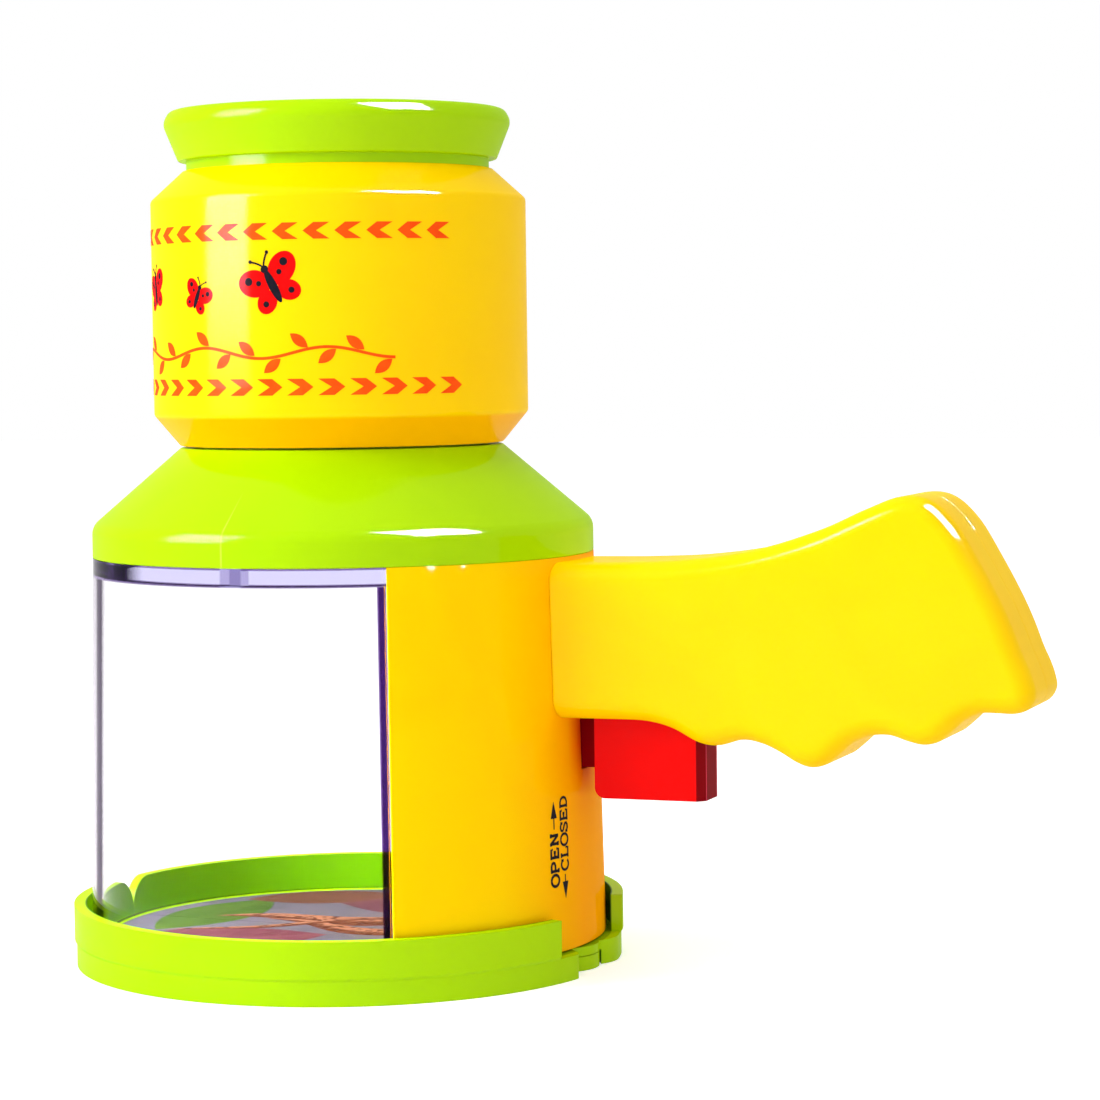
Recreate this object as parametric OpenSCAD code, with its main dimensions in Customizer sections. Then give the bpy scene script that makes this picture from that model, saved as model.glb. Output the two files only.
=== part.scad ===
// Hand-held insect catcher: a clear jar under a magnifying drum, with two base
// jaws that a trigger swings apart. Millimetres, +Z up, jar axis on the Z axis,
// handle along +X, base on the plane z = 0.

/* [Jar wall] */
// Outer radius of the jar wall at its foot
wall_foot_r = 44.4; // [44:0.1:45]
// Outer radius of the jar wall at its shoulder
wall_top_r = 43; // [42:0.1:43.8]
// Thickness of the jar wall
wall_t = 1.8; // [1.4:0.1:2.2]
// Height of the jar wall from its foot to its shoulder
wall_h = 65.4; // [64:0.2:70]
// Thickness of the band round the top of the jar
band_t = 3.4; // [3:0.1:4]
// Height of the band round the top of the jar
band_h = 2.9; // [2:0.1:4]
// Height of the spigot that enters the collar
spigot_h = 3.4; // [2.5:0.1:3.6]
// Half of the angle that the rear column takes
column_half_a = 57; // [52:1:60]
// Angle by which the column laps behind the window
lap_a = 4; // [2:0.5:6]
// Thickness of the laps
lap_t = 1.2; // [0.8:0.1:1.6]

/* [Collar] */
// Height of the collar's upright skirt
skirt_h = 5.3; // [4.8:0.1:8]
// Radius of the collar where the drum stands
collar_top_r = 27.6; // [27.2:0.1:28.4]
// Height of the collar's cone
cone_h = 13.2; // [10:0.2:18]
// Thickness of the collar's cone
cone_t = 2; // [1.6:0.1:2.4]
// Rounding of the edge between skirt and cone
collar_edge_r = 1.4; // [0.8:0.1:2.5]
// Outer radius of the collar's bayonet tube
bayonet_r = 25.2; // [24.8:0.1:25.3]
// Wall of the bayonet tube
bayonet_t = 1.8; // [1.4:0.1:2.2]
// Height of the bayonet tube
bayonet_h = 4.7; // [4.4:0.1:5]
// Height of a bayonet lug
lug_h = 1.7; // [1.2:0.1:2]
// How far a bayonet lug stands out
lug_reach = 1.2; // [0.8:0.1:1.3]
// Angle that a bayonet lug takes
lug_a = 16; // [10:1:20]
// Angle that the drum turns from locked to free
drum_turn_a = 30; // [20:1:40]

/* [Drum] */
// Radius of the drum
drum_r = 32.05; // [31.6:0.05:33]
// Radius of the drum's foot
drum_foot_r = 27.8; // [27.6:0.1:28.6]
// Height of the drum's upright foot
drum_foot_h = 2; // [1:0.1:2.6]
// Height of the drum's lower bevel
low_bevel_h = 3.5; // [2.5:0.1:4.5]
// Height of the drum's straight wall
drum_wall_h = 36; // [32:0.5:40]
// Height of the drum's upper bevel
top_bevel_h = 5.1; // [4:0.1:6]
// Wall of the drum
drum_t = 2; // [1.6:0.1:2.2]
// Length of the sleeve that guides the eyepiece
sleeve_h = 8.8; // [7:0.2:12]
// Wall of the guide sleeve
sleeve_t = 1.6; // [1.2:0.1:2]
// Thickness of the ledge under the objective lens
ledge_t = 2; // [1.6:0.1:2.4]
// Width of the ledge under the objective lens
ledge_w = 3; // [2:0.1:4]
// Height of the rim round the objective lens
lens_rim_h = 4.6; // [4:0.1:6]
// Wall of the rim round the objective lens
lens_rim_t = 1.6; // [1.2:0.1:1.8]

/* [Eyepiece] */
// Outer radius of the eyepiece's draw tube
tube_r = 25.85; // [25.6:0.05:26]
// Wall of the draw tube
tube_t = 1.6; // [1.3:0.1:1.8]
// Length of the draw tube below the cup
tube_h = 25; // [22:0.5:30]
// How far the draw tube shows above the drum at rest
tube_show_h = 1.7; // [1.5:0.1:4]
// Radius of the cup's lower edge
cup_foot_r = 27; // [26.6:0.1:27.4]
// Radius of the cup's upper edge
cup_r = 29.4; // [28.6:0.1:31]
// Height of the cup
cup_h = 8.5; // [8:0.1:11]
// Rounding of the cup's upper edge
cup_edge_r = 1.4; // [0.8:0.1:1.6]
// Width of the ledge under the eyepiece lens
cup_ledge_w = 2; // [1.4:0.1:2.6]
// Thickness of the ledge under the eyepiece lens
cup_ledge_t = 1.5; // [1.2:0.1:2]
// How far a snap hook of the draw tube stands out
hook_reach = 1.2; // [0.8:0.1:1.5]
// Height of a snap hook
hook_h = 1.8; // [1.4:0.1:2.4]
// Angle that a snap hook takes
hook_a = 20; // [12:1:26]

/* [Lenses] */
// Thickness of a lens at its rim
lens_rim_e = 1.6; // [1.2:0.1:2]
// Rise of each face of the eyepiece lens
eye_sag = 1.4; // [1:0.1:1.8]
// Rise of each face of the objective lens
objective_sag = 1.2; // [0.8:0.1:1.6]
// Height of a lens ring
ring_h = 2; // [1.6:0.1:2.2]

/* [Jaws] */
// Radius of the base floor
floor_r = 47.05; // [46.9:0.05:47.4]
// Thickness of the base floor
floor_t = 4.1; // [4:0.1:5]
// Outer radius of the base wall
jaw_wall_r = 47.4; // [47.4:0.1:48]
// Thickness of the base wall
jaw_wall_t = 2.1; // [1.7:0.1:2.1]
// Height of the base wall above the floor
jaw_wall_h = 6.4; // [4:0.2:9]
// Angle from the handle to the end of the near wall
near_end_a = 19; // [16:1:26]
// Angle from the handle to the end of the far wall
far_end_a = 14.5; // [14:0.5:24]
// Rounding of the wall's upper corners at the tip
tip_corner_r = 5.4; // [2:0.2:6]
// Distance of the jaws' hinge from the jar's axis
hinge_x = 38.2; // [37.8:0.1:38.4]
// Angle between the seam and the handle's plane
seam_a = 2.7; // [0:0.1:4]
// Gap along the seam
seam_gap = 0.3; // [0.2:0.05:0.4]
// Angle that each jaw swings out
open_a = 24; // [16:1:25]
// Radius of the hinge hubs
hub_r = 7.2; // [6:0.1:7.4]
// Height of the near jaw's hub, which lies lowest
low_hub_h = 2.4; // [2.2:0.1:2.6]
// Rounding of the near jaw's corner beside the hinge
near_corner_r = 2.5; // [1.5:0.1:3]
// Rounding of the far jaw's corner beside the hinge
far_corner_r = 7; // [5:0.2:7.4]
// Radius of the printed floor cards
card_r = 41.5; // [38:0.5:42]
// Thickness of the printed floor cards
card_t = 0.25; // [0.2:0.05:0.3]
// Depth of the pocket for the cards
card_pocket = 0.3; // [0.3:0.05:0.4]

/* [Jaw arms] */
// Inner radius of the near jaw's arm, about the hinge
arm_r = 8.6; // [8.4:0.1:9]
// Thickness of the arms
arm_t = 2; // [1.6:0.1:2.2]
// Height of the arms' upper edge
arm_top_z = 32; // [31.6:0.1:32.4]
// Angle that an arm reaches over its own jaw
arm_own_a = 34; // [28:1:34]
// Angle that an arm reaches past the slot's end
arm_past_a = 9; // [8:1:10]
// Height of the cam pin when the jaws are shut
cam_z = 20; // [19:0.2:20]

/* [Trigger] */
// Travel of the trigger
travel = 8; // [6:0.2:8]
// Width of the trigger block
trigger_w = 8.6; // [7:0.1:9]
// Length of the trigger block
trigger_l = 19.1; // [16:0.1:20]
// Height of the trigger block
trigger_h = 23.6; // [20:0.1:24]
// Height of the trigger's lower face above the base
trigger_z = 29.4; // [28:0.1:31]
// Distance from the jar wall's foot radius to the block
trigger_gap = 2.5; // [2.5:0.1:3.5]
// Chamfer of the block's front corners
nose_c = 1.25; // [0.8:0.05:2]
// Rounding of the block's lower back edge
heel_r = 1.8; // [1:0.1:3]
// Thickness of the trigger's blade
blade_t = 3; // [2.4:0.1:3.4]
// Height of the trigger's blade
blade_h = 9.3; // [8:0.1:9.6]
// Height of the blade's lower edge above the block's
blade_rise = 4.8; // [4.6:0.1:5.4]

/* [Carriage] */
// Width of the carriage
carriage_w = 10; // [9:0.1:10]
// Height of the carriage's block
carriage_h = 12; // [11.5:0.1:12.4]
// Thickness of the carriage along the handle
carriage_l = 9; // [8:0.1:9]
// Thickness of the carriage's leg
leg_t = 3.5; // [3:0.1:3.8]
// Width of the carriage's leg
leg_w = 6; // [5:0.1:7]
// Radius of the cam pin
cam_pin_r = 1.5; // [1.2:0.05:1.6]
// Radius of the pin that holds the blade
blade_pin_r = 1; // [0.8:0.05:1.2]
// Mean radius of the trigger's return spring
spring_r = 3.1; // [2.8:0.1:3.2]
// Wire diameter of the return spring
wire_d = 0.9; // [0.7:0.05:1]
// Turns of the return spring
spring_turns = 8; // [6:1:9]

/* [Mechanism cover] */
// Wall of the mechanism cover
cover_t = 1.6; // [1.2:0.1:1.7]
// Inner half width of the mechanism cover
cover_half_w = 14.8; // [14:0.1:15]
// Height of the cover's upper face above the base
cover_top_z = 64.6; // [64:0.1:65]
// Side distance of the cover's screws
cover_screw_y = 20; // [20:0.1:21]
// Radius of the hinge pin
hinge_pin_r = 2; // [1.6:0.1:2.4]

/* [Handle] */
// Length of the handle from inside the jar wall to the butt
handle_l = 82.4; // [78:0.2:86]
// Height of the handle from its lowest groove ridge to its crown
handle_h = 44.4; // [43:0.2:46]
// Height of the lowest groove ridge above the base
handle_z = 36.2; // [36:0.1:37]
// Thickness of the handle
handle_w = 22; // [20:0.2:24]
// Rounding of the handle's edges
handle_edge_r = 3.2; // [2:0.1:3.3]
// Wall of the handle shells
shell_t = 2; // [1.6:0.1:2.2]

/* [Hidden] */
$fn = 96;

// Colours
leaf_green = "#8fdc00";
sun_yellow = "#ffd500";
signal_red = "#e00000";
clear_plastic = [0.9, 0.9, 0.95, 0.35];
steel = "#b8bcc0";

// Clearances and overruns
fit = 0.05;           // still parts that slide together
run = 0.08;           // round parts that turn or slide in each other
seat = 0.02;          // faces that rest on each other
slide_gap = 0.35;     // flat parts that pass each other
lift_gap = 0.3;       // parts that pass over or beside each other
cut = 1;              // overrun of every cut
hub_gap = 0.1;        // between the two hubs

// Heights
foot_z = floor_t + lift_gap;
shoulder_z = foot_z + wall_h;
skirt_top_z = shoulder_z + skirt_h;
collar_top_z = skirt_top_z + cone_h;
drum_z = collar_top_z + slide_gap;
drum_wall_z = drum_z + drum_foot_h + low_bevel_h;
drum_shoulder_z = drum_wall_z + drum_wall_h;
drum_top_z = drum_shoulder_z + top_bevel_h;
cup_z = drum_top_z + tube_show_h;
tube_z = cup_z - tube_h;
bayonet_top_z = collar_top_z + bayonet_h;
ledge_z = bayonet_top_z + slide_gap;
lens_z = ledge_z + ledge_t;

// Radii
spigot_r = wall_top_r - wall_t - fit;
band_r = wall_top_r - band_t;
tube_bore_r = tube_r - tube_t;
sleeve_bore_r = tube_r + run;
sleeve_r = sleeve_bore_r + sleeve_t;
drum_bore_r = bayonet_r + slide_gap / 2;
lens_r = drum_bore_r;
lens_bore_r = lens_r + fit;
ledge_bore_r = lens_r - ledge_w;
cup_ledge_r = tube_bore_r - cup_ledge_w;

// Outer radius of the jar wall at height z
function wall_r(z) = wall_foot_r + (wall_top_r - wall_foot_r) * (z - foot_z) / wall_h;

// Points on an arc, from angle a to angle b in n steps
function arc(c, r, a, b, n) =
    [for (i = [0:n]) c + r * [cos(a + (b - a) * i / n), sin(a + (b - a) * i / n)]];

// A ring sector of the given profile, from angle a to angle b
module sector(a, b)
    rotate([0, 0, a])
        rotate_extrude(angle = b - a)
            children();

// A box from its lower corner to its upper corner
module block(low, high)
    translate(low)
        cube(high - low);

// A box that is centred on y = 0
module centred_block(x0, x1, half_w, z0, z1)
    block([x0, -half_w, z0], [x1, half_w, z1]);

// A rod along X from x0 to x1
module rod_x(r, x0, x1, y, z)
    translate([x0, y, z])
        rotate([0, 90, 0])
            cylinder(r = r, h = x1 - x0);

// A rod along Y from y0 to y1
module rod_y(r, y0, y1, x, z)
    translate([x, y0, z])
        rotate([-90, 0, 0])
            cylinder(r = r, h = y1 - y0);

// Jar wall

window_gap_a = 0.15;
band_z = shoulder_z - band_h;

module wall_profile()
    polygon([
        [wall_foot_r, foot_z],
        [wall_top_r, shoulder_z],
        [spigot_r, shoulder_z],
        [spigot_r, shoulder_z + spigot_h],
        [band_r, shoulder_z + spigot_h],
        [band_r, band_z],
        [wall_r(band_z) - wall_t, band_z],
        [wall_foot_r - wall_t, foot_z]]);

module lap_profile(depth)
    polygon([
        [wall_foot_r - wall_t + depth, foot_z],
        [wall_r(band_z) - wall_t + depth, band_z - fit],
        [wall_r(band_z) - wall_t - lap_t, band_z - fit],
        [wall_foot_r - wall_t - lap_t, foot_z]]);

module inside_wall(clearance)
    translate([0, 0, foot_z])
        cylinder(r1 = wall_foot_r - wall_t - clearance,
            r2 = wall_top_r - wall_t - clearance, h = wall_h);

module clear_window()
    color(clear_plastic)
        sector(column_half_a + window_gap_a, 360 - column_half_a - window_gap_a)
            wall_profile();

// Places of the mechanism in the rear column

block_x = wall_foot_r + trigger_gap;
blade_z = trigger_z + blade_rise;
blade_top_z = blade_z + blade_h;
slot_half_w = blade_t / 2 + slide_gap;
carriage_z = blade_z - (carriage_h - blade_h) / 2;
carriage_top_z = carriage_z + carriage_h;
far_arm_r = arm_r + arm_t + slide_gap;
arm_outer_r = far_arm_r + arm_t;
carriage_x = hinge_x - sqrt(arm_r * arm_r - leg_w * leg_w / 4) + slide_gap;
carriage_back_x = carriage_x + carriage_l;
cam_pin_x = hinge_x - arm_outer_r - slide_gap;
cover_x = cam_pin_x - slide_gap - cover_t;
cover_z = foot_z + lift_gap;
rib_half_w = carriage_w / 2 + lift_gap;
rib_t = 1.4;
rib_l = 4;
rib_x = carriage_back_x - rib_l;
rib_z = cam_z - 2 * cam_pin_r - rib_l / 2;
shelf_x = hinge_x - arm_r * cos(arm_own_a + open_a) + lift_gap;
shelf_t = 2.4;
shelf_z = foot_z + hub_gap;
boss_t = 2.2;
boss_r = hinge_pin_r + boss_t;
boss_top_z = cam_z - 2 * cam_pin_r - shelf_t * 2;
tab_w = 7;
tab_setback = 9;
tab_x = cover_x + tab_setback;
cover_boss_r = 3;
cover_screw_r = 1.25;
low_screw_h = 11.2;
top_screw_drop = 10.5;
cover_screw_z = [cover_z + low_screw_h, cover_top_z - top_screw_drop];

// T-shaped lug that the handle shells close over
lug_neck_half_w = 4;
lug_head_half_w = 7.5;
lug_head_t = 1.6;
lug_depth_z = 13.2;
lug_drop = 16.6;
lug_z = shoulder_z - lug_drop;
lug_top_z = lug_z + lug_depth_z;
root_wall_x = block_x - slide_gap - lug_head_t - fit;
lug_head_x = root_wall_x + fit;

module rear_column()
    color(sun_yellow)
        difference() {
            union() {
                sector(-column_half_a, column_half_a)
                    wall_profile();
                for (side = [-1, 1])
                    column_lap(side);
                intersection() {
                    inside_wall(-wall_t / 2);
                    union() {
                        centred_block(shelf_x, wall_foot_r, cover_half_w - fit,
                            shelf_z, shelf_z + shelf_t);
                        translate([hinge_x, 0, shelf_z])
                            cylinder(r = boss_r, h = boss_top_z - shelf_z);
                        for (side = [-1, 1])
                            column_side(side);
                    }
                }
                centred_block(wall_top_r - wall_t / 2, lug_head_x + fit, lug_neck_half_w,
                    lug_z, lug_top_z);
                centred_block(lug_head_x, lug_head_x + lug_head_t, lug_head_half_w,
                    lug_z, lug_top_z);
            }
            centred_block(shelf_x, wall_foot_r + cut, slot_half_w,
                blade_z - slide_gap, blade_top_z + travel + slide_gap);
            translate([hinge_x, 0, foot_z - cut])
                cylinder(r = hinge_pin_r + seat, h = boss_top_z - foot_z);
            for (side = [-1, 1], z = cover_screw_z)
                rod_x(cover_screw_r + seat, tab_x, tab_x + cover_t + cover_screw_l,
                    side * cover_screw_y, z);
        }

module column_lap(side)
    rotate([0, 0, side * column_half_a])
        mirror([0, side < 0 ? 1 : 0, 0]) {
            sector(-lap_a, 0)
                lap_profile(wall_t / 2);
            sector(-lap_a, lap_a)
                lap_profile(-fit);
        }

module column_side(side)
    mirror([0, side < 0 ? 1 : 0, 0]) {
        block([rib_x, rib_half_w, rib_z],
            [wall_foot_r, rib_half_w + rib_t, carriage_top_z + travel]);
        for (z = cover_screw_z)
            rod_x(cover_boss_r, tab_x + cover_t + fit, wall_foot_r, cover_screw_y, z);
    }

// Mechanism cover

spring_seat_r = spring_r - wire_d / 2 - lift_gap;
spring_seat_h = 1.6;
spring_x = (carriage_x + carriage_back_x) / 2;

module mechanism_cover()
    color(sun_yellow)
        difference() {
            intersection() {
                inside_wall(lift_gap / 2);
                union() {
                    centred_block(cover_x, cover_x + cover_t, cover_half_w + cover_t,
                        cover_z, cover_top_z);
                    centred_block(cover_x, wall_foot_r, cover_half_w + cover_t,
                        cover_top_z - cover_t, cover_top_z);
                    for (side = [-1, 1])
                        cover_side(side);
                    translate([spring_x, 0, cover_top_z - cover_t - spring_seat_h])
                        cylinder(r = spring_seat_r, h = spring_seat_h + cover_t / 2);
                }
            }
            for (side = [-1, 1], z = cover_screw_z)
                rod_x(cover_screw_r + 2 * fit, tab_x - cut, tab_x + cover_t + cut,
                    side * cover_screw_y, z);
        }

module cover_side(side)
    mirror([0, side < 0 ? 1 : 0, 0]) {
        block([cover_x, cover_half_w, cover_z],
            [wall_foot_r, cover_half_w + cover_t, cover_top_z]);
        for (z = cover_screw_z)
            block([tab_x, cover_half_w + cover_t / 2, z - tab_w / 2],
                [tab_x + cover_t, cover_screw_y + tab_w / 2, z + tab_w / 2]);
    }

cover_screw_l = 4;
cover_head_r = 2.6;
cover_head_t = 1.4;

module cover_screws()
    color(steel)
        for (side = [-1, 1], z = cover_screw_z)
            difference() {
                union() {
                    rod_x(cover_head_r, tab_x - cover_head_t, tab_x,
                        side * cover_screw_y, z);
                    rod_x(cover_screw_r, tab_x - cover_head_t / 2,
                        tab_x + cover_t + cover_screw_l - fit, side * cover_screw_y, z);
                }
                cross_slot(tab_x - cover_head_t, side * cover_screw_y, z);
            }

slot_w = 0.7;

module cross_slot(x, y, z)
    for (turn = [0, 90])
        translate([x, y, z])
            rotate([turn, 0, 0])
                centred_block(-cut, cover_head_t / 2, slot_w / 2,
                    -cover_screw_r - slot_w / 2, cover_screw_r + slot_w / 2);

// Collar

cone_slope = atan2(cone_h, wall_top_r - collar_top_r);

// Height of the underside of the collar's cone at radius r
function under_cone_z(r) =
    skirt_top_z + (wall_top_r - r) * tan(cone_slope) - cone_t / cos(cone_slope);

lug_bottom_z = bayonet_top_z - lug_h - slide_gap;
collar_edge_d = collar_edge_r * tan((90 - cone_slope) / 2);
collar_edge_c = [wall_top_r - collar_edge_r, skirt_top_z - collar_edge_d];
skirt_bore_r = spigot_r + fit;
bayonet_bore_r = bayonet_r - bayonet_t;
collar_edge_n = 6;

module collar()
    color(leaf_green) {
        rotate_extrude()
            polygon(concat(
                [[skirt_bore_r, shoulder_z + seat]],
                [[wall_top_r, shoulder_z + seat]],
                arc(collar_edge_c, collar_edge_r, 0, 90 - cone_slope, collar_edge_n),
                [[collar_top_r, collar_top_z]],
                [[bayonet_r, collar_top_z]],
                [[bayonet_r, bayonet_top_z]],
                [[bayonet_bore_r, bayonet_top_z]],
                [[bayonet_bore_r, under_cone_z(bayonet_bore_r)]],
                [[skirt_bore_r, under_cone_z(skirt_bore_r)]]));
        for (k = [0:2])
            sector(120 * k, 120 * k + lug_a)
                translate([bayonet_r - bayonet_t / 2, lug_bottom_z])
                    square([bayonet_t / 2 + lug_reach, lug_h]);
    }

// Viewer drum

groove_play_a = 1;
groove_r = bayonet_r + lug_reach + slide_gap / 2;
drum_top_r = sleeve_bore_r + sleeve_t / 3;
top_slope = atan2(top_bevel_h, drum_r - drum_top_r);
drum_inner_r = drum_r - drum_t;

// Height of the underside of the drum's upper bevel at radius r
function under_bevel_z(r) =
    drum_shoulder_z + (drum_r - r) * tan(top_slope) - drum_t / cos(top_slope);

module viewer_drum()
    color(sun_yellow)
        difference() {
            rotate_extrude()
                polygon([
                    [drum_bore_r, drum_z],
                    [drum_foot_r, drum_z],
                    [drum_foot_r, drum_z + drum_foot_h],
                    [drum_r, drum_wall_z],
                    [drum_r, drum_shoulder_z],
                    [drum_top_r, drum_top_z],
                    [sleeve_bore_r, drum_top_z],
                    [sleeve_bore_r, drum_top_z - sleeve_h],
                    [sleeve_r, drum_top_z - sleeve_h],
                    [sleeve_r, under_bevel_z(sleeve_r)],
                    [drum_inner_r, under_bevel_z(drum_inner_r)],
                    [drum_inner_r, lens_z],
                    [lens_bore_r + lens_rim_t, lens_z],
                    [lens_bore_r + lens_rim_t, lens_z + lens_rim_h],
                    [lens_bore_r, lens_z + lens_rim_h],
                    [lens_bore_r, lens_z],
                    [ledge_bore_r, lens_z],
                    [ledge_bore_r, ledge_z],
                    [drum_bore_r, ledge_z]]);
            for (k = [0:2])
                rotate([0, 0, 120 * k])
                    bayonet_groove();
        }

module bayonet_groove() {
    width = groove_r - drum_bore_r + cut;
    sector(-drum_turn_a - groove_play_a, lug_a + groove_play_a)
        translate([drum_bore_r - cut, lug_bottom_z - lift_gap])
            square([width, lug_h + 2 * lift_gap]);
    sector(-drum_turn_a - groove_play_a, lug_a - drum_turn_a + groove_play_a)
        translate([drum_bore_r - cut, drum_z - cut])
            square([width, lug_bottom_z - drum_z + cut]);
}

// Lenses and their rings. A lens has a flat rim and two domed faces.

dome_n = 10;

module lens(rim_r, clear_r, sag, z) {
    dome_r = (clear_r * clear_r + sag * sag) / (2 * sag);
    dome_a = asin(clear_r / dome_r);
    translate([0, 0, z])
        rotate_extrude()
            polygon(concat(
                [[rim_r, 0], [rim_r, lens_rim_e]],
                arc([0, lens_rim_e + sag - dome_r], dome_r, 90 - dome_a, 90, dome_n),
                arc([0, dome_r - sag], dome_r, 270, 270 + dome_a, dome_n)));
}

module lens_ring(outer_r, bore_r, z)
    translate([0, 0, z])
        difference() {
            cylinder(r = outer_r, h = ring_h);
            translate([0, 0, -cut])
                cylinder(r = bore_r, h = ring_h + 2 * cut);
        }

eye_lens_r = tube_bore_r - fit;
eye_lens_z = cup_z + cup_ledge_t / 2;

module eyepiece_lens()
    color(clear_plastic)
        lens(eye_lens_r, cup_ledge_r - fit, eye_sag, eye_lens_z + seat);

module eyepiece_lens_ring()
    color(leaf_green)
        lens_ring(eye_lens_r, cup_ledge_r, eye_lens_z + lens_rim_e + 2 * seat);

module objective_lens()
    color(clear_plastic)
        lens(lens_r, ledge_bore_r - fit, objective_sag, lens_z + seat);

module objective_lens_ring()
    color(sun_yellow)
        lens_ring(lens_r, ledge_bore_r, lens_z + lens_rim_e + 2 * seat);

// Eyepiece

cup_edge_c = [cup_r - cup_edge_r, cup_z + cup_h - cup_edge_r];
cup_mouth_r = cup_edge_c[0];
cup_edge_n = 6;
cup_flare_a = atan2(cup_r - cup_foot_r, cup_h);
hook_slot_a = 2;
hook_slot_h = 8;

module eyepiece()
    color(leaf_green)
        difference() {
            union() {
                rotate_extrude()
                    polygon(concat(
                        [[tube_bore_r, tube_z]],
                        [[tube_r, tube_z]],
                        [[tube_r, cup_z]],
                        [[cup_foot_r, cup_z]],
                        arc(cup_edge_c, cup_edge_r, -cup_flare_a, 90, cup_edge_n),
                        [[cup_mouth_r - cup_edge_r / 2, cup_z + cup_h]],
                        [[tube_bore_r, cup_z + cup_h / 2]],
                        [[tube_bore_r, eye_lens_z]],
                        [[cup_ledge_r, eye_lens_z]],
                        [[cup_ledge_r, eye_lens_z - cup_ledge_t]],
                        [[tube_bore_r, eye_lens_z - cup_ledge_t - cup_ledge_w]]));
                for (k = [0:2])
                    sector(120 * k - hook_slot_a / 2, 120 * k + hook_a + hook_slot_a / 2)
                        polygon([
                            [tube_r - tube_t / 2, tube_z],
                            [tube_r, tube_z],
                            [tube_r + hook_reach, tube_z + hook_h],
                            [tube_r - tube_t / 2, tube_z + hook_h]]);
            }
            for (k = [0:2], a = [-hook_slot_a, hook_a])
                sector(120 * k + a, 120 * k + a + hook_slot_a)
                    translate([tube_bore_r - cut, tube_z - cut])
                        square([tube_t + hook_reach + 2 * cut, hook_slot_h + cut]);
        }

// Trigger

block_end_x = block_x + trigger_l;

module trigger()
    color(signal_red) {
        difference() {
            translate([0, 0, trigger_z])
                linear_extrude(trigger_h)
                    polygon([
                        [block_x, -trigger_w / 2],
                        [block_end_x - nose_c, -trigger_w / 2],
                        [block_end_x, -trigger_w / 2 + nose_c],
                        [block_end_x, trigger_w / 2 - nose_c],
                        [block_end_x - nose_c, trigger_w / 2],
                        [block_x, trigger_w / 2]]);
            difference() {
                centred_block(block_x - cut, block_x + heel_r, trigger_w,
                    trigger_z - cut, trigger_z + heel_r);
                rod_y(heel_r, -trigger_w, trigger_w, block_x + heel_r, trigger_z + heel_r);
            }
        }
        difference() {
            centred_block(blade_x, block_x + heel_r, blade_t / 2, blade_z, blade_top_z);
            rod_y(blade_pin_r + seat, -trigger_w, trigger_w, blade_pin_x, blade_pin_z);
        }
    }

blade_sink = 4.6;
blade_x = carriage_back_x - blade_sink;
blade_pin_x = (blade_x + carriage_back_x) / 2;
blade_pin_z = (blade_z + blade_top_z) / 2;

// Carriage that carries the blade, the cam pin and the spring's foot

leg_z = cam_z - 2 * cam_pin_r;
cam_hole_x = carriage_x + leg_t - cam_pin_r / 3;

module trigger_carriage()
    color("#e8e8e4")
        difference() {
            union() {
                centred_block(carriage_x, carriage_back_x, carriage_w / 2,
                    carriage_z, carriage_top_z);
                centred_block(carriage_x, carriage_x + leg_t, leg_w / 2,
                    leg_z, carriage_z + cut);
                translate([spring_x, 0, carriage_top_z - cut])
                    cylinder(r = spring_seat_r, h = spring_seat_h + cut);
            }
            centred_block(blade_x - fit, carriage_back_x + cut, blade_t / 2 + fit,
                blade_z - fit, blade_top_z + fit);
            rod_y(blade_pin_r + seat, -carriage_w, carriage_w, blade_pin_x, blade_pin_z);
            rod_x(cam_pin_r + seat, carriage_x - cut, cam_hole_x, 0, cam_z);
        }

module blade_pin()
    color(steel)
        rod_y(blade_pin_r, -carriage_w / 2, carriage_w / 2, blade_pin_x, blade_pin_z);

module cam_pin()
    color(steel)
        rod_x(cam_pin_r, cam_pin_x, cam_hole_x - seat, 0, cam_z);

// Return spring: one tube of round section wound on a helix

spring_z = carriage_top_z + wire_d / 2 + seat;
spring_top_z = cover_top_z - cover_t - wire_d / 2 - seat;
spring_steps = 16;
wire_sides = 6;

// Point k of ring i of the spring's tube
function spring_point(i, k) =
    let (turn = 360 * i / spring_steps,
        r = spring_r + wire_d / 2 * cos(360 * k / wire_sides),
        rise = (spring_top_z - spring_z) * i / (spring_steps * spring_turns))
    [r * cos(turn), r * sin(turn), rise + wire_d / 2 * sin(360 * k / wire_sides)];

module trigger_spring() {
    last = spring_steps * spring_turns;
    points = [for (i = [0:last]) for (k = [0:wire_sides - 1]) spring_point(i, k)];
    sides = [for (i = [0:last - 1]) for (k = [0:wire_sides - 1])
        let (a = i * wire_sides + k,
            b = i * wire_sides + (k + 1) % wire_sides)
        each [[a, a + wire_sides, b + wire_sides], [a, b + wire_sides, b]]];
    first_end = [for (k = [0:wire_sides - 1]) k];
    last_end = [for (k = [0:wire_sides - 1]) last * wire_sides + wire_sides - 1 - k];
    color(steel)
        translate([spring_x, 0, spring_z])
            polyhedron(points, concat(sides, [first_end, last_end]));
}

// Jaws. Each is drawn about the hinge with its own side towards +Y.

relief_play_a = 0.5;
relief_a = 2 * open_a + relief_play_a;
hub_split_z = low_hub_h + hub_gap;
past_seam_a = 5;

// The jar's axis in a jaw's own frame, turned back by an angle
function jar_axis(side, turn) =
    let (x = -hinge_x * cos(seam_a), y = -side * hinge_x * sin(seam_a))
    [x * cos(turn) + y * sin(turn), y * cos(turn) - x * sin(turn)];

module jaw_frame(side)
    translate([hinge_x, 0, 0])
        rotate([0, 0, -seam_a])
            mirror([0, side < 0 ? 1 : 0, 0])
                children();

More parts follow.
